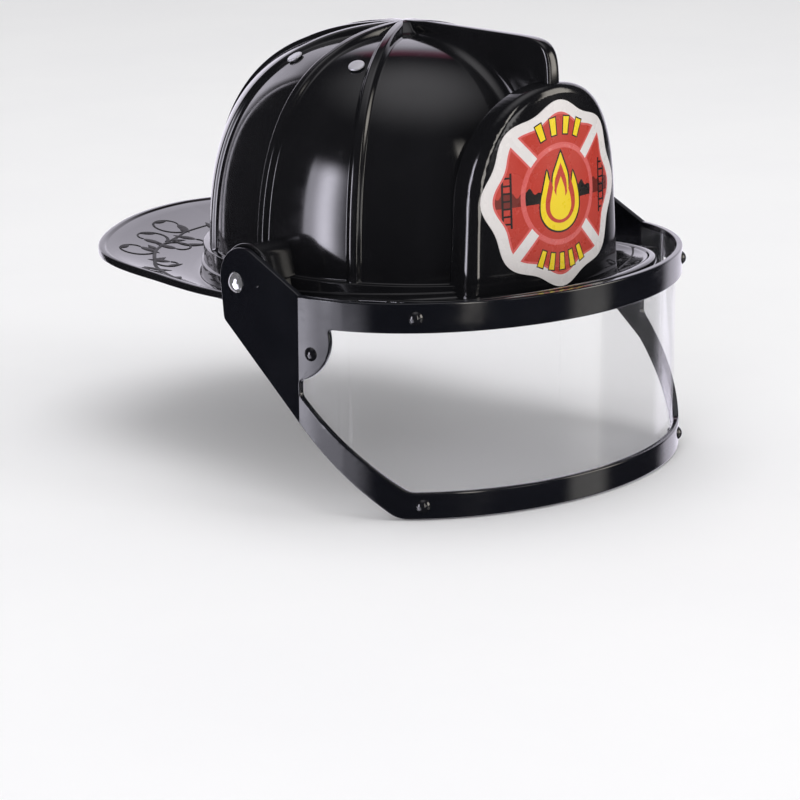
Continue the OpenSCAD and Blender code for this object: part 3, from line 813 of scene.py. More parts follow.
def vine(points, width):
    """A low rounded cord laid on the brim, thinner towards its end."""
    p = through(points, 1.2)
    d = np.gradient(p, axis=0)
    d /= np.maximum(np.linalg.norm(d, axis=1), 1e-9)[:, None]
    side = np.stack([-d[:, 1], d[:, 0]], 1)
    section = [(-1, -0.4), (-0.85, 0.12), (-0.4, 0.36), (0.4, 0.36), (0.85, 0.12), (1, -0.4)]
    out = []
    for i, (q, s) in enumerate(zip(p, side)):
        w = width / 2 * (1 - 0.55 * i / (len(p) - 1))
        z = brim_height(q[0], q[1])
        out += [[q[0] + s[0] * w * a, q[1] + s[1] * w * a, z + h] for a, h in section]
    return out, tube_faces(len(p), len(section))


def leaf(place, angle, length, width):
    """A pointed leaf with a raised middle."""
    t = math.radians(angle)
    ahead, side = np.array([math.cos(t), math.sin(t)]), np.array([-math.sin(t), math.cos(t)])
    outline = [(k, math.sin(math.pi * k ** 0.75) * 0.5) for k in np.linspace(0, 1, 15)]
    outline += [(k, -w) for k, w in reversed(outline[1:-1])]
    points = []
    for scale, h in ((1, -0.4), (0.97, 0.15), (0.78, 0.3), (0.4, 0.42)):
        for k, w in outline:
            along, across = length * (0.45 + (k - 0.45) * scale), width * w * scale
            points.append(on_brim(np.array(place) + ahead * along + side * across, h))
    n = len(outline)
    faces = grid_faces(4, n)
    points.append(on_brim(np.array(place) + ahead * length * 0.45, 0.42))
    faces += [[3 * n + k, 3 * n + (k + 1) % n, 4 * n] for k in range(n)]
    faces.append(list(range(n)))
    return points, faces


STEM = [(60, 111), (53, 115), (47, 120), (42, 125), (37, 128), (30, 133), (24, 135), (17, 136), (12, 138),
    (4, 139), (0, 141)]
FRONT_STEM = [(116, 109.5), (126, 110), (134, 114), (142, 114), (150, 113), (158, 114)]
# Each scroll: angle from the rear, radius of the stem there, size (negative curls inwards), sweep.
SCROLLS = [(12, 138, 12, 290), (17, 136, -10, -280), (30, 133, 11, 285), (37, 128, -7.5, -270),
    (4, 139, -9, 280), (23, 135, -8.5, 265), (46, 121, 5.5, 250), (21.5, 136, 10.5, -260)]
FRONT_SCROLLS = [(134, 114, 4.2, 270), (144, 114, -3.6, -270), (152, 113, 4.4, -270)]


def scroll(angle, radius, size, sweep, side):
    """A curl that leaves the stem and winds in on itself."""
    out = []
    turn = -90 if size > 0 else 90
    for f in np.linspace(0, 1, 15):
        q, a = abs(size) * (1 - 0.58 * f), math.radians(turn + sweep * f)
        reach = radius + size + q * math.sin(a)
        out.append(from_rear(angle + math.degrees(q * math.cos(a) / reach), reach, side))
    return out


def heading(points, i):
    p = np.array(points)
    d = p[min(i + 1, len(p) - 1)] - p[max(i - 1, 0)]
    return math.degrees(math.atan2(d[1], d[0]))


def make_relief():
    shapes = []

    def grow(line, i, turn, length, width):
        shapes.append(leaf(line[i], heading(line, i) + turn, length, width))

    for side in (-1, 1):
        for stem, scrolls, wide, long in ((STEM, SCROLLS, 2.6, 13.0),
                (FRONT_STEM, FRONT_SCROLLS, 1.8, 7.0)):
            line = through([from_rear(a, r, side) for a, r in stem], 2.0)
            shapes.append(vine(line.tolist(), wide * 1.15))
            for k, (a, r, size, sweep) in enumerate(scrolls):
                curl = scroll(a, r, size, sweep, side)
                shapes.append(vine(curl, wide * 0.85))
                grow(curl, len(curl) - 1, 0, long * (0.7 + 0.03 * abs(size)), long * 0.38)
                grow(curl, 5 if k % 2 else 7, 38 if k % 2 else -38, long * 0.75, long * 0.3)
            for k, i in enumerate(range(6, len(line) - 4, 9)):
                grow(line, i, 42 if k % 2 else -42, long * 0.7, long * 0.3)
    add_mesh("brim_relief", *merged(shapes), relief_black, sharp=60)


make_relief()


# ---------- shield and emblem ----------

LEAN_AT = np.array([0, -SHIELD_Y, SHIELD_Z])


def on_shield(flat):
    """(x, z, depth behind the face) to the leaned, curved shield."""
    x, z, d = flat[:, 0], flat[:, 1], flat[:, 2]
    y = (SHIELD_R - SHIELD_Y) - np.sqrt(SHIELD_R ** 2 - x ** 2) + d
    t = math.radians(-SHIELD_LEAN)
    dy, dz = y - LEAN_AT[1], z - LEAN_AT[2]
    return np.stack([x, LEAN_AT[1] + dy * math.cos(t) - dz * math.sin(t),
        LEAN_AT[2] + dy * math.sin(t) + dz * math.cos(t)], 1)


def make_shield():
    arch = super_arch(SHIELD_HALF, SHIELD_SPRING, SHIELD_Z - SHIELD_SPRING, SHIELD_POWER)
    outline = np.array(arch + [[-SHIELD_HALF - 2.5, SHIELD_FOOT], [SHIELD_HALF + 2.5, SHIELD_FOOT]])
    edge = [(4.6, 0), (3.3, 0.16), (2.1, 0.6), (1.15, 1.3), (0.45, 2.3), (0.1, 3.5), (0, 4.8), (0, 8),
        (0, FLANGE_D - 0.5), (0.14, FLANGE_D - 0.14), (0.5, FLANGE_D), (WALL - 0.5, FLANGE_D),
        (WALL - 0.14, FLANGE_D - 0.14), (WALL, FLANGE_D - 0.5), (WALL, 4.4), (WALL + 0.4, 3.0),
        (WALL + 1.6, WALL)]
    plate("front_shield_moulding", outline, [], edge, np.arange(-50, 50.1, 2.0), on_shield, shell_black,
        stands_for=["front_shield"])


make_shield()


def lobed(t):
    """The emblem's radius at an angle."""
    return EMBLEM_R * (1 + LOBE * np.cos(8 * t))


def cross_panel(centre, inner, margin, bar):
    """One of four panels between diagonal bars, from a ring out to the lobed edge."""
    c, reach = math.radians(centre), math.pi / 4
    outer_lim = reach - math.asin(bar / (lobed(reach) - margin))
    inner_lim = reach - math.asin(bar / inner)
    sweep = [(t, lobed(t) - margin) for t in np.linspace(-outer_lim, outer_lim, 41)]
    sweep += [(t, inner) for t in np.linspace(inner_lim, -inner_lim, 25)]
    return np.array([[r * math.cos(c + t), r * math.sin(c + t)] for t, r in sweep])


def radial_block(angle, r1, r2, half1, half2, grow=0.0):
    """A short bar that points out of the centre."""
    t = math.radians(angle)
    out, side = np.array([math.cos(t), math.sin(t)]), np.array([-math.sin(t), math.cos(t)])
    near, far = out * (r1 - grow), out * (r2 + grow)
    return np.array([near + side * (half1 + grow), far + side * (half2 + grow),
        far - side * (half2 + grow), near - side * (half1 + grow)])


def block(x, y, half_x, half_y):
    return np.array([[x - half_x, y - half_y], [x + half_x, y - half_y], [x + half_x, y + half_y],
        [x - half_x, y + half_y]])


def flame(scale, grow=0.0):
    """A plain three-tongued flame, drawn as curves between its tips and its notches."""
    curves = [[(0.2, 17.5), (2.6, 12.2), (4.4, 7.6), (4.8, 1.6)], [(4.8, 1.6), (6.6, 4.0), (7.6, 8.6)],
        [(7.6, 8.6), (9.8, 3.6), (11.2, -2.2), (10.9, -8.0), (7.6, -13.0), (2.6, -15.4), (-2.6, -15.4),
        (-7.6, -13.2), (-11.0, -8.6), (-11.4, -2.6), (-9.8, 3.6), (-7.8, 10.6)],
        [(-7.8, 10.6), (-6.6, 6.4), (-4.8, 3.0)], [(-4.8, 3.0), (-4.4, 8.0), (-2.2, 12.8), (0.2, 17.5)]]
    loop = np.concatenate([through(c, 0.8)[:-1] for c in curves])[::-1] * scale
    return inset_loop(loop if area(loop) > 0 else loop[::-1], -grow)


def inside(points, loop):
    """Which points lie inside a closed loop."""
    x, y = points[:, 0][:, None], points[:, 1][:, None]
    x1, y1 = loop[:, 0][None], loop[:, 1][None]
    x2, y2 = np.roll(loop[:, 0], -1)[None], np.roll(loop[:, 1], -1)[None]
    crosses = (y1 > y) != (y2 > y)
    with np.errstate(divide="ignore", invalid="ignore"):
        at = (x2 - x1) * (y - y1) / (y2 - y1) + x1
    return (np.sum(crosses & (x < at), 1) % 2) == 1


def emblem_art():
    """Printed areas from the top layer down: the loops a place must lie in, and a material number."""
    _, red, rose, yellow, black, smoke = range(6)  # 0 is the white ground
    art = [((flame(0.62) + [0, -2.6],), yellow), ((flame(0.86) + [0, -0.4],), red),
        ((flame(1.12),), yellow), ((flame(1.12, 0.9),), black)]
    upper, lower = (112, 97.5, 82.5, 68), (247, 258.5, 270, 281.5, 293)
    for angles, bar, rim in ((upper, (28.2, 36.2, 1.5, 1.9), 0.65), (lower, (28.2, 36.0, 1.2, 1.6), 0.6)):
        for angle in angles:
            art.append(((radial_block(angle, *bar),), yellow))
            art.append(((radial_block(angle, *bar, rim),), black))
    wave = [[x, 2.8 + 1.3 * math.sin(0.55 * x) + 0.8 * math.sin(1.3 * x + 1)]
        for x in np.linspace(-41, 41, 90)]
    skyline = np.array(wave + [[41, -3.2], [-41, -3.2]])
    disc = circle_loop(0, 0, DISC_R, 96)
    art += [((skyline, disc), black), ((disc,), red), ((circle_loop(0, 0, RING_R, 96),), rose)]
    for centre, way in ((0, 1), (90, 0), (180, -1), (270, 0)):
        core = cross_panel(centre, RING_R + 1.1, 6.7, 3.8)
        if way:
            parts = [block(LADDER_X * way + dx, 0, 0.55, 13) for dx in (-2.2, 2.2)]
            parts += [block(LADDER_X * way, 3.6 * k, 2.2, 0.45) for k in range(-3, 4)]
            art += [((part, core), black) for part in parts]
            art.append(((skyline, core), smoke))
        art += [((core,), red), ((cross_panel(centre, RING_R, 5.6, 2.7),), rose)]
    return art


def make_emblem():
    t = np.linspace(0, 2 * math.pi, 240, endpoint=False)
    outline = np.stack([lobed(t) * np.cos(t), lobed(t) * np.sin(t)], 1)
    verts, edges = [], []
    art = emblem_art()
    for loop in [outline] + [loops[0] for loops, _ in art]:
        start, n = len(verts), len(loop)
        verts.extend(Vector(p) for p in loop)
        edges.extend((start + i, start + (i + 1) % n) for i in range(n))
    for x in np.arange(-45, 45.1, 2.5):
        verts.extend((Vector((x, -47)), Vector((x, 47))))
        edges.append((len(verts) - 2, len(verts) - 1))
    flat, _, tris, _, _, _ = delaunay_2d_cdt(verts, edges, [], 0, 1e-4)
    flat = np.array([list(v) for v in flat])
    middle = np.array([flat[list(t)].mean(0) for t in tris])
    number = np.full(len(tris), -1)
    for loops, value in art:
        number[(number < 0) & np.all([inside(middle, loop) for loop in loops], 0)] = value
    number[number < 0] = 0
    kept = [(list(t), int(m)) for t, m, k in zip(tris, number, inside(middle, outline)) if k]
    used = sorted({i for t, _ in kept for i in t})
    bm = bmesh.new()

    def layer(lift):
        depth = np.full((len(flat), 1), -lift)
        placed = on_shield(np.concatenate([flat + [EMBLEM_X, EMBLEM_Z], depth], 1))
        return {i: bm.verts.new(placed[i] * MM) for i in used}

    fv, bv = layer(EMBLEM_T), layer(0.03)
    count = {}
    for t, m in kept:
        bm.faces.new([fv[i] for i in t]).material_index = m
        bm.faces.new([bv[i] for i in reversed(t)])
        for a, b in zip(t, t[1:] + t[:1]):
            key = (min(a, b), max(a, b))
            count[key] = count.get(key, 0) + 1
    for (a, b), c in count.items():
        if c == 1:
            bm.faces.new([fv[a], fv[b], bv[b], bv[a]])
    inks = [print_white, print_red, print_rose, print_yellow, print_black, print_smoke]
    finish_mesh("shield_sticker", bm, inks, "helmet", ["shield_emblem"], 40)


make_emblem()


# ---------- visor ----------

def visor_curve():
    """Plan of the visor's outside, from the front round the left side to the end of the arm."""
    end = math.asin(VISOR_HALF / PLAN_A)
    curve = [[PLAN_A * math.sin(t), PLAN_Y - PLAN_B * math.cos(t)] for t in np.linspace(0, end, 160)]
    curve += [[VISOR_HALF, y] for y in np.linspace(CREASE_Y + 0.4, 6, 60)]
    return np.array(curve)


half_curve = visor_curve()
half_length = lengths(half_curve)
CREASE_S = float(half_length[159])
whole = Plan(np.concatenate([half_curve[:0:-1] * [-1, 1], half_curve]), (0, -20))
MIDDLE_S = float(half_length[-1])


def s_of(y):
    """Length along the visor from its front to a place on the left side."""
    return float(np.interp(y, half_curve[:, 1], half_length))


def on_visor(flat):
    x, y = whole.at(flat[:, 0] + MIDDLE_S, flat[:, 2])
    return np.stack([x, y, flat[:, 1]], 1)


def line_to(a, b):
    """Places on a straight line in side view, as (length, height), without the last one."""
    return [[s_of(mix(a[0], b[0], k / 16)), mix(a[1], b[1], k / 16)] for k in range(16)]


def convex(points):
    """Convex hull, counter-clockwise."""
    pts = sorted(map(tuple, points))

    def half(seq):
        h = []
        for p in seq:
            while len(h) > 1:
                (x0, y0), (x1, y1) = h[-2:]
                if (x1 - x0) * (p[1] - y0) - (y1 - y0) * (p[0] - x0) > 0:
                    break
                h.pop()
            h.append(p)
        return h[:-1]

    return half(pts) + half(pts[::-1])


def mirrored(half):
    """A closed loop from its left half, which runs from one end on the middle line to the other."""
    half = np.array(half, float)
    return np.concatenate([half, half[::-1] * [-1, 1]])


def visor_outline():
    """Outside of the frame's left half, from the bottom middle round to the top middle."""
    circle = arc_points(ARM_C, ARM_R, 0, 2 * math.pi, 96)
    heel = arc_points(HEEL, HEEL_R, 0, 2 * math.pi, 24)
    low = (CREASE_Y, CREASE_BAND[1])
    arm = convex(circle + heel + [(CREASE_Y, UPPER_BAND[0]), low])
    start = min(range(len(arm)), key=lambda i: math.hypot(arm[i][0] - low[0], arm[i][1] - low[1]))
    half = [[0, LOWER_BAND[1]]] + line_to((visor_at(BEND_X), LOWER_BAND[1]), low)
    half += [[s_of(y), z] for y, z in arm[start:] + arm[:start]]
    return half + [[0, UPPER_BAND[0]]]


def window_half():
    """The window's left half, from the top middle down to the bottom middle."""
    edge, corner = CREASE_Y - 0.3, visor_at(WINDOW_X)
    top, side = UPPER_BAND[1], CREASE_BAND[0]
    t1 = math.pi - math.asin((top - GUSSET_C[1]) / GUSSET_R)
    t2 = math.pi + math.acos((GUSSET_C[0] - edge) / GUSSET_R)
    arc = [[s_of(y), z] for y, z in arc_points(GUSSET_C, GUSSET_R, t1, t2, 26)]
    slope = line_to((edge, side), (corner, LOWER_BAND[0]))
    return [[0, top]] + arc + slope + [[s_of(corner), LOWER_BAND[0]], [0, LOWER_BAND[0]]]


def make_visor():
    half = visor_outline()
    last = 2 * len(half) - 1
    loop = softened(mirrored(half), {1: 5.0, last - 1: 5.0})
    half = window_half()
    last = 2 * len(half) - 1
    corners = {}
    # The window's corners: the gusset's two ends, the crease and the lower bend.
    for i, r in ((1, 2.4), (26, 2.0), (27, 2.0), (len(half) - 2, 3.0)):
        corners[i] = corners[last - i] = r
    window = softened(mirrored(half), corners)
    cuts = sorted(set(np.round(np.arange(-CREASE_S, CREASE_S, 3.0), 3)) | {-CREASE_S, CREASE_S})
    plate("visor_frame_moulding", loop, [window], rounding(0.75, FRAME_T, 0.5), cuts, on_visor,
        frame_black, [-CREASE_S, CREASE_S], "visor", ["visor_frame"])
    bottom, bend, side, top = LOWER_BAND[1] + 2.5, CREASE_BAND[1] + 4, CREASE_Y - 0.6, UPPER_BAND[0] - 2.5
    half = [[0, bottom]] + line_to((visor_at(BEND_X) + 1, bottom), (side, bend))
    half += [[s_of(side), bend], [s_of(side), top], [0, top]]
    behind = FRAME_T + 0.06
    edge = [(0.3, behind), (0, 0.3 + behind), (0, LENS_T - 0.3 + behind), (0.3, LENS_T + behind)]
    plate("visor_pane", mirrored(half), [], edge, np.arange(-200, 200, 2.5), on_visor, clear,
        body="visor", stands_for=["visor_lens"])


make_visor()


# ---------- rivets, washers and screws ----------

def button_profile(r, h, below):
    """A domed head with a small rolled rim, then its shank and its clenched tail."""
    ball = (r * r + h * h) / (2 * h)
    top = [(ball * math.sin(t), h - ball + ball * math.cos(t)) for t in np.linspace(0,
        math.asin(r * 0.93 / ball), 12)]
    top[0] = (0, h)
    return top + [(r * 0.98, top[-1][1] * 0.62), (r, top[-1][1] * 0.3), (r * 0.99, 0.0)] + below


def put_lathe(name, profile, place, axis, material, body, slot, node, segments=64):
    add_mesh(name, *lathe_shape(profile, place, axis, segments), material, body, slot, [node], 50)


def lens_rivet_place(x, z, side):
    y = visor_at(x)
    n = np.array([x / PLAN_A ** 2, (y - PLAN_Y) / PLAN_B ** 2])
    n /= np.linalg.norm(n)
    return (side * x, y, z), (side * n[0], n[1], 0)


def make_lens_rivets():
    grip = FRAME_T + LENS_T + 0.15
    tail = [(1.6, 0.0), (1.6, -grip), (2.6, -grip - 0.15), (2.8, -grip - 0.35), (2.5, -grip - 1.0),
        (2.0, -grip - 1.25), (0, -grip - 1.3)]
    for label, x, z in (("corner", 117.8, -21.8), ("top", 91.3, -2.1), ("bottom", 88.8, -91.4)):
        for end, side in SIDES:
            place, axis = lens_rivet_place(x, z, side)
            put_lathe(f"lens_rivet_{label}_{end}_head", button_profile(3.3, 1.9, tail), place, axis,
                rivet_black, "visor", "rivet_plastic", f"lens_rivet_{label}_{end}")


def make_pivots():
    head, seat = VISOR_HALF + 0.1, BRACKET_OUT - WALL
    inner = seat - 1.1 - head
    tail = [(3.1, -0.05), (2.5, -0.12), (2.5, inner), (3.5, inner - 0.1), (3.6, inner - 0.5),
        (3.0, inner - 1.1), (0, inner - 1.2)]
    washer = [(0, 1), (4.6, 1), (4.9, 0.8), (5, 0.5), (4.9, 0.15), (4.6, 0), (0, 0)]
    for end, side in SIDES:
        put_lathe(f"pivot_rivet_{end}_chrome", button_profile(5.0, 2.6, tail),
            (side * head, PIVOT.y, PIVOT.z), (side, 0, 0), chrome, "helmet", "chrome",
            f"pivot_rivet_{end}", 80)
        put_lathe(f"pivot_washer_{end}_zinc", washer, (side * (seat - 1.05), PIVOT.y, PIVOT.z),
            (side, 0, 0), zinc, "helmet", "zinc", f"pivot_washer_{end}")


def make_dome_rivets():
    head = [(1.4, 1.12), (2.6, 1.08), (3.15, 0.98), (3.45, 0.78), (3.6, 0.5), (3.58, 0.22), (3.4, 0.04),
        (3.1, 0.0)]
    profile = [(0, 1.72)] + [(r * HEAD_GROWN, h + 0.6) for r, h in head] + [(1.7, 0.6)]
    profile += [(r, -RIVET_GRIP - h) for r, h in ((1.7, 0.95), (2.5, 1.05), (2.6, 1.3), (2.3, 1.7),
        (0, 1.85))]
    washer = [(0, 0.8), (3.9, 0.8), (4.15, 0.65), (4.2, 0.4), (4.15, 0.15), (3.9, 0), (0, 0)]
    washers = []
    for row, y in ROWS:
        for end, side in SIDES:
            p, n = dome_place(side * RIVET_X, y)
            put_lathe(f"dome_rivet_{row}_{end}_steel", profile, p, n, satin, "helmet", "satin_steel",
                f"dome_rivet_{row}_{end}", 72)
            washers.append(lathe_shape(washer, p - n * (RIVET_GRIP + 0.9), n, 40))
    add_mesh("backing_washers_zinc", *merged(washers), zinc, "helmet", "zinc", ["rivet_backing_washers"],
        50)


def make_screws():
    profile = [(0, -3.5), (1.0, -3.5), (1.9, -3.35), (2.6, -3.05), (3.0, -2.6), (3.1, -2.2), (3.05, -2.0),
        (1.6, -2.0), (1.5, -1.8)]
    for k in range(11):
        profile += [(1.5, k * 0.8 - 1.4), (1.28, k * 0.8 - 1.0)]
    profile += [(0.9, 8.4), (0, 9.0)]
    shapes = [lathe_shape(profile, (side * (HALF_W - WALL), ARM_C[0], 12), (side, 0, 0), 32)
        for side in (-1, 1)]
    add_mesh("bracket_screws_zinc", *merged(shapes), zinc, "helmet", "zinc", ["bracket_screws"], 50)


def make_pips():
    """A small stop pip on the outside of each arm."""
    profile = [(0, 0.42), (0.35, 0.38), (0.6, 0.22), (0.72, 0.0), (0.72, -0.3), (0, -0.3)]
    shapes = [lathe_shape(profile, (side * VISOR_HALF, -26.6, 4.4), (side, 0, 0), 20) for side in (-1, 1)]
    add_mesh("arm_pips", *merged(shapes), rivet_black, "visor", "frame_plastic", ["visor_frame"], 50)


make_pips()
make_lens_rivets()
make_pivots()
make_dome_rivets()
make_screws()


# ---------- side brackets ----------

def arch_loop(r, floor):
    return np.array([[ARM_C[0] + r, floor]] + arc_points(ARM_C, r, 0, math.pi, 40)
        + [[ARM_C[0] - r, floor]])


def tunnel_loop(inset, floor):
    """The bracket behind its face: the top turns down early into a leaning front wall."""
    away = CORNER - ARM_C
    crown = math.atan2(away[1], away[0])
    back = arc_points(ARM_C, BRACKET_R - inset, 0, crown, 30)
    front = arc_points(CORNER, CORNER_R - inset, crown, math.pi - LEAN, 16)
    foot = front[-1] - (front[-1][1] - floor) * np.array([math.tan(LEAN), 1])
    return np.array([[back[0][0], floor]] + back + front[1:] + [foot])


def dome_side(y, z):
    """X of the dome's side at a place in side view."""
    z = max(0.0, z)
    left = 1 - (z / DOME_H) ** DOME_POWER
    rho = max(0, left) ** (1 / DOME_POWER)
    return HALF_W * math.sqrt(max(0, rho ** 2 - (y / HALF_L) ** 2))


def make_brackets():
    length, outer = 20.0, BRACKET_OUT - WALL + 0.2
    loop = np.concatenate([tunnel_loop(0, -2.5), tunnel_loop(WALL, -2.5)[::-1]])
    rim = [(1.7, 0.35), (1.35, 0.12), (1.0, 0), (0.55, 0.05), (0.16, 0.3), (0, 0.75), (0.05, 1.15),
        (0.4, 1.5), (1.0, 1.75), (1.0, WALL - 0.2), (1.2, WALL)]
    for end, side in SIDES:
        def tunnel(flat, side=side):
            start = np.array([dome_side(y, z) - 1.3 for y, z in flat[:, :2]])
            x = outer - flat[:, 2] / length * (outer - start)
            return np.stack([side * x, flat[:, 0], flat[:, 1]], 1)

        def face(flat, side=side):
            return np.stack([side * (BRACKET_OUT - flat[:, 2]), flat[:, 0], flat[:, 1]], 1)

        node = f"side_bracket_{end}"
        plate(f"{node}_tunnel", loop, [], [(0.2, 0), (0, 0.3), (0, 6), (0, 13), (0, length)], [], tunnel,
            shell_black, stands_for=[node])
        plate(f"{node}_face", arch_loop(BRACKET_R + 1, BRACKET_FLOOR), [], rim, [], face, shell_black,
            stands_for=[node])


make_brackets()


# ---------- suspension ----------

def ellipse_plan(a, b, start, end):
    t = np.radians(np.linspace(start, end, 240))
    return Plan(np.stack([a * np.sin(t), -b * np.cos(t)], 1), (0, 0))


def plan_place(plan):
    def place(flat):
        x, y = plan.at(flat[:, 0], flat[:, 2])
        return np.stack([x, y, flat[:, 1]], 1)
    return place


def rectangle(u0, u1, v0, v1, r, steps=6):
    loop = np.array([[u0, v0], [u1, v0], [u1, v1], [u0, v1]], float)
    return softened(loop, {0: r, 1: r, 2: r, 3: r}, steps)


def make_headband():
    lo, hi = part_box("headband")
    end = 168
    plan = ellipse_plan(HEAD_A + BAND_T, HEAD_B + BAND_T, -end, end)
    total = plan.s[-1]
    holes = []
    for k in range(4):
        for side in (-1, 1):
            share = (side * (180 - 16 - 5 * k) + end) / (2 * end)
            s = float(np.interp(share, np.linspace(0, 1, len(plan.s)), plan.s))
            if 3 < s < total - 3:
                holes.append(circle_loop(s, (lo.z + hi.z) / 2 / MM, 1.6, 20))
    loop = rectangle(0, total, lo.z / MM, hi.z / MM, 2.5)
    plate("headband_strip", loop, holes, rounding(0.45, BAND_T), np.arange(3, total, 3.5),
        plan_place(plan), band_white, stands_for=["headband"])


def make_adjuster():
    thick = 1.4
    out = BAND_T + 0.25 + thick
    plan = ellipse_plan(HEAD_A + out, HEAD_B + out, 146, 214)
    total = plan.s[-1]
    places = np.linspace(total * 0.36, total * 0.64, 6)
    slots = [rectangle(s - 0.7, s + 0.7, -4, 2, 0.6, 4) for s in places]
    plate("size_adjuster_tab", rectangle(0, total, -6, 4, 4.0), slots, rounding(0.45, thick),
        np.arange(2, total, 3.0), plan_place(plan), band_white,
        stands_for=["size_adjuster"])
    peg = [(0, 2.6), (0.8, 2.6), (1.3, 2.45), (1.5, 2.0), (1.5, -1.0), (1.35, -1.4), (0.9, -1.6),
        (0, -1.6)]
    shapes = []
    for side in (-1, 1):
        for k in (1, 3):
            p, n = ellipse_at(HEAD_A, HEAD_B, math.radians(180 + side * (16 + 5 * k)))
            shapes.append(lathe_shape(peg, (*p, -1.0), (*n, 0), 28))
    add_mesh("size_adjuster_pegs", *merged(shapes), band_white, "helmet", "headband_plastic",
        ["size_adjuster"], 50)


def make_pad():
    """Foam brow pad in knitted cloth: crowned between sewn channels, with a rolled seam."""
    lo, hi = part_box("brow_pad")
    outer = (HEAD_A - 0.4, HEAD_B - 0.4)
    z0, z1 = lo.z / MM, hi.z / MM
    columns, rows, stitches = 132, 34, 58
    points = []
    for j in range(columns + 1):
        u = j / columns
        edge, n = ellipse_at(*outer, math.radians(mix(-52, 52, u)))
        end = math.sqrt(max(0, 1 - abs(2 * u - 1) ** 10))
        puff = 0.62 + 0.38 * abs(math.sin(math.pi * u * 6)) ** 0.55
        tall = (z1 - z0) / 2 * (0.80 + 0.20 * end) * (1 - 0.03 * math.sin(6 * math.pi * u) ** 2)
        for k in range(rows):
            t = 2 * math.pi * k / rows
            c, s = math.cos(t), math.sin(t)
            w = math.copysign(abs(s) ** 0.75, s)
            depth = (0.35 + (2.35 * puff if w > 0 else 0.5) * w) * (0.25 + 0.75 * end)
            base = edge - n * (depth + 0.9)
            points.append([base[0], base[1], (z0 + z1) / 2 + tall * math.copysign(abs(c) ** 0.5, c)])
    faces = grid_faces(columns + 1, rows)
    for start, flip in ((0, False), (columns * rows, True)):
        points.append(np.mean(points[start:start + rows], axis=0))
        for k in range(rows):
            f = [start + k, start + (k + 1) % rows, len(points) - 1]
            faces.append(f[::-1] if flip else f)
    pad = add_mesh("brow_pad_cushion", points, faces, pad_cloth, "helmet", "foam", ["brow_pad"], 80)
    sub = pad.modifiers.new("smooth", "SUBSURF")
    sub.levels = sub.render_levels = 1
    capsule = [(0, -0.9), (0.16, -0.8), (0.24, -0.5), (0.26, 0), (0.24, 0.5), (0.16, 0.8), (0, 0.9)]
    shapes = []
    for z in (z0 + 1.7, z1 - 1.7):
        for k in range(stitches):
            edge, n = ellipse_at(*outer, math.radians(mix(-49, 49, (k + 0.5) / stitches)))
            shapes.append(lathe_shape(capsule, (*(edge - n * 2.35), z), (-n[1], n[0], 0), 8))
    add_mesh("brow_pad_stitches", *merged(shapes), thread, "helmet", "foam", ["brow_pad"], 60)


def strap_line():
    up = [[STRAP_X, z] for z in (-9, -4, 0, 5)]
    down = [[-STRAP_X, z] for z in (5, 0, -4, -9)]
    return np.array(up + super_arch(79.5, 10.0, 87.0, 2.9) + down)


def make_straps():
    path = strap_line()
    seg = lengths(path)
    even = np.linspace(0, seg[-1], 220)
    plan = Plan(np.stack([np.interp(even, seg, path[:, 0]), np.interp(even, seg, path[:, 1])], 1), (0, 0))
    total = plan.s[-1]
    loop = rectangle(0, total, -STRAP_W / 2, STRAP_W / 2, 5.0)
    places = np.linspace(total * 0.42, total * 0.58, 5)
    slots = [rectangle(s - 3, s + 3, -1.6, 1.6, 1.4, 4) for s in places]
    section = [(-0.7, -0.2), (-0.5, 0.22), (0, 0.36), (0.5, 0.22), (0.7, -0.2)]
    for row, y0 in ROWS:
        def place(flat, y0=y0):
            x, z = plan.at(flat[:, 0], flat[:, 2] - STRAP_T / 2)
            return np.stack([x, flat[:, 1] + y0, z], 1)

        node = f"crown_strap_{row}"
        plate(f"{node}_strip", loop, slots, rounding(0.35, STRAP_T), np.arange(2.2, total, 2.6), place,
            strap_black, stands_for=[node])
        rails = []
        for v in (-STRAP_W / 2 + 1.5, STRAP_W / 2 - 1.5):
            flat = [[q, v + a, -h] for q in np.linspace(6, total - 6, 150) for a, h in section]
            rails.append((place(np.array(flat)), tube_faces(150, len(section))))
        add_mesh(f"{node}_rails", *merged(rails), strap_black, "helmet", "strap_plastic", [node], 60)


def make_strap_pegs():
    head = STRAP_X + STRAP_T / 2 + 0.1
    depth = HEAD_A - 5.4 - head
    tail = [(2.0, depth + 1.2), (3.0, depth + 1.15), (3.2, depth + 0.9), (3.1, depth + 0.3), (2.6, depth),
        (0, depth)]
    profile = button_profile(4.0, 1.6, [(2.0, -0.02)] + tail)
    shapes = [lathe_shape(profile, (side * head, y, 0), (side, 0, 0), 40) for side in (-1, 1)
        for y in STRAP_Y]
    add_mesh("strap_pegs_moulded", *merged(shapes), strap_black, "helmet", "strap_plastic",
        ["strap_pegs"], 50)


make_headband()
make_adjuster()
make_pad()
make_straps()
make_strap_pegs()


# ---------- stage, light and camera ----------

def make_stage():
    """A floor that gloss doesn't see."""
    low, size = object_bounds()[0].z - 0.0006, 6.0
    mesh = bpy.data.meshes.new("floor")
    mesh.from_pydata([(-size, -size, low), (size, -size, low), (size, size, low), (-size, size, low)], [],
        [(0, 1, 2, 3)])
    floor = bpy.data.objects.new("floor", mesh)
    bpy.context.scene.collection.objects.link(floor)
    n = Nodes("floor_paper")
    paper = n.colour(n.ramp(n.noise(6, 4, 0.6), 0.3, 0.7), (0.93, 0.93, 0.94), (0.95, 0.95, 0.955))
    n.set(Base_Color=paper, Roughness=0.9, Normal=n.bump(n.noise(900, 3, 0.6), 0.1, 0.0001))
    path = n.add("ShaderNodeLightPath")
    unseen = n.add("ShaderNodeBsdfTransparent")
    n.surface(n.filled("ShaderNodeMixShader", path.outputs["Is Glossy Ray"], n.shader.outputs[0],
        unseen.outputs[0]))
    mesh.materials.append(n.material)


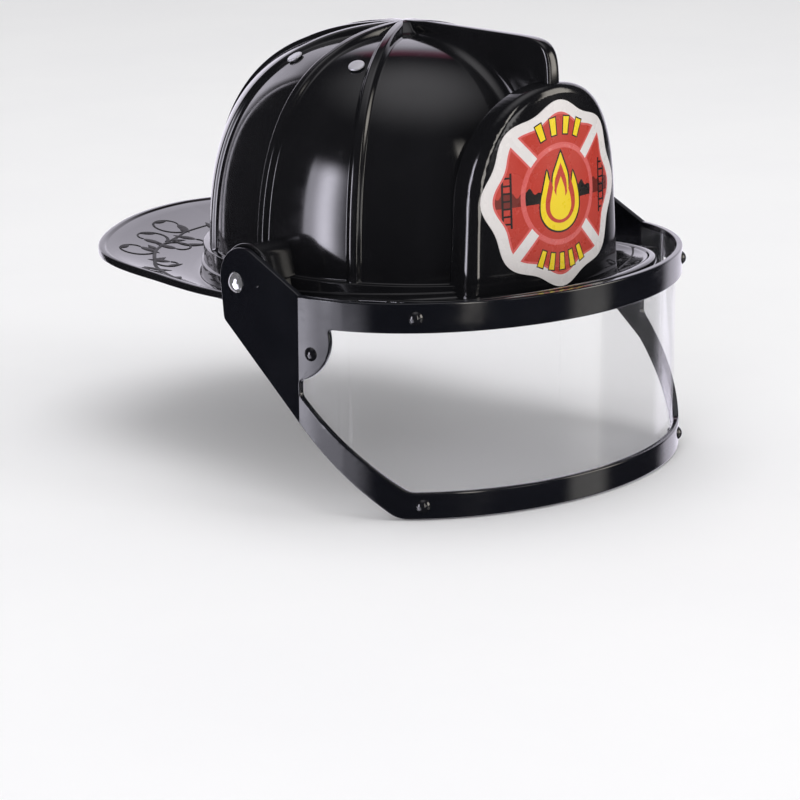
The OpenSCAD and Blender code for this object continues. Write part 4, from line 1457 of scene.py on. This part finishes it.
def area_light(name, place, target, size, power, colour):
    data = bpy.data.lights.new(name, "AREA")
    data.shape = "RECTANGLE"
    data.size = data.size_y = size
    data.energy = power
    data.color = colour
    obj = bpy.data.objects.new(name, data)
    bpy.context.scene.collection.objects.link(obj)
    obj.location = place
    obj.rotation_euler = (Vector(target) - Vector(place)).to_track_quat("-Z", "Y").to_euler()
    obj.visible_glossy = False


def make_world():
    """White to the camera and to matt surfaces; to gloss a dark room with soft cards.

    Cards are given by azimuth, counted from the front towards the wearer's left, and elevation."""
    world = bpy.data.worlds.new("studio")
    bpy.context.scene.world = world
    world.use_nodes = True
    g = Graph(world.node_tree)
    g.tree.nodes.clear()

    def fade(value, start, end, low=0.0, high=1.0):
        return g.ramp(value, start, end, low, high, "SMOOTHSTEP")

    coords = g.add("ShaderNodeTexCoord")
    parts = g.add("ShaderNodeSeparateXYZ")
    g.link(coords.outputs["Generated"], parts.inputs[0])
    ahead = g.maths("MULTIPLY", parts.outputs["Y"], -1.0)
    azimuth = g.maths("MULTIPLY", g.maths("ARCTAN2", parts.outputs["X"], ahead), 180 / math.pi)
    height = g.maths("MULTIPLY", g.maths("ARCSINE", parts.outputs["Z"]), 180 / math.pi)

    def band(value, at):
        """1 between the inner two of four places, 0 beyond the outer two."""
        return g.maths("MULTIPLY", fade(value, at[0], at[1]), fade(value, at[2], at[3], 1.0, 0.0))

    def card(az, el, strength, colour, peak=None):
        """az and el are (start, full, full, end) in degrees."""
        mask = g.maths("MULTIPLY", band(azimuth, az), band(height, el))
        if peak:
            centre, width, gain = peak
            away = g.maths("ABSOLUTE", g.maths("SUBTRACT", azimuth, centre))
            mask = g.maths("MULTIPLY", mask, fade(away, 0, width, gain, 1.0))
        return g.filled("ShaderNodeBackground", (*colour, 1), g.maths("MULTIPLY", mask, strength))

    violet, lavender, warm = (0.90, 0.88, 1.0), (0.92, 0.88, 1.0), (1.0, 0.95, 0.88)
    cards = [card((-112.5, -110.5, -96, -84), (-14, -9, 16, 26), 4.4, violet, (-99, 9, 2.4)),
        card((-128, -126, -87, -84), (-60, -50, -14, -9), 2.4, violet, (-121, 18, 2.1)),
        card((84, 96, 172, 180), (-70, -60, 30, 44), 1.3, lavender, (180, 24, 1.6)),
        card((-181, -180.5, -179.5, -177), (-70, -60, 30, 44), 2.0, lavender),
        card((-200, -190, 190, 200), (46, 84, 100, 110), 0.85, (0.92, 0.90, 0.93)),
        card((-17, -14, -8, -5), (-14, -10, 30, 48), 5.0, warm),
        card((2, 6, 14, 22), (-6.8, -3.5, 6, 14), 2.2, (0.96, 0.94, 0.93)),
        card((30, 36, 46, 54), (-45, -35, -14, -9), 0.9, (1.0, 0.97, 0.92)),
        card((28, 35, 50, 60), (-6, 0, 24, 36), 4.0, (1.0, 0.94, 0.85)),
        card((-87, -84, -80, -62), (-60, -50, -13.6, -12.4), 1.6, violet),
        card((120, 128, 146, 152), (36, 39, 44, 48), 0.35, (0.8, 0.15, 0.32))]
    room = cards[0]
    for shader in cards[1:] + [g.filled("ShaderNodeBackground", (0.012, 0.012, 0.015, 1))]:
        room = g.filled("ShaderNodeAddShader", room, shader)
    white = g.filled("ShaderNodeBackground", (1, 1, 1, 1), 0.64)
    path = g.add("ShaderNodeLightPath")
    out = g.add("ShaderNodeOutputWorld")
    g.link(g.filled("ShaderNodeMixShader", path.outputs["Is Glossy Ray"], white, room),
        out.inputs["Surface"])


def make_lights():
    area_light("overhead", (0.25, 0.15, 2.2), (0, 0, 0), 1.8, 17, (1.0, 0.99, 1.0))
    area_light("left_softbox", (-1.75, -0.9, 0.9), (0, 0, 0), 0.8, 7, (0.95, 0.93, 1.0))
    area_light("right_softbox", (0.9, -1.9, 0.9), (0, -0.05, 0.02), 0.8, 9, (1.0, 0.98, 0.97))


def make_camera():
    data = bpy.data.cameras.new("camera")
    data.lens = 131.81
    data.sensor_width = 36
    camera = bpy.data.objects.new("camera", data)
    bpy.context.scene.collection.objects.link(camera)
    place = Vector((-0.98309, -1.03820, 0.31459))
    ahead = Vector((0.66197, 0.70114, -0.26496)).normalized()
    up = Vector((0.15, 0.15390, 0.97663))
    right = ahead.cross(up).normalized()
    up = right.cross(ahead)
    turn = Matrix((right, up, -ahead)).transposed()
    camera.matrix_world = Matrix.Translation(place) @ turn.to_4x4()
    data.clip_start, data.clip_end = 0.05, 50
    bpy.context.scene.camera = camera


make_stage()
make_world()
make_lights()
make_camera()
bpy.context.scene.view_settings.view_transform = "Standard"
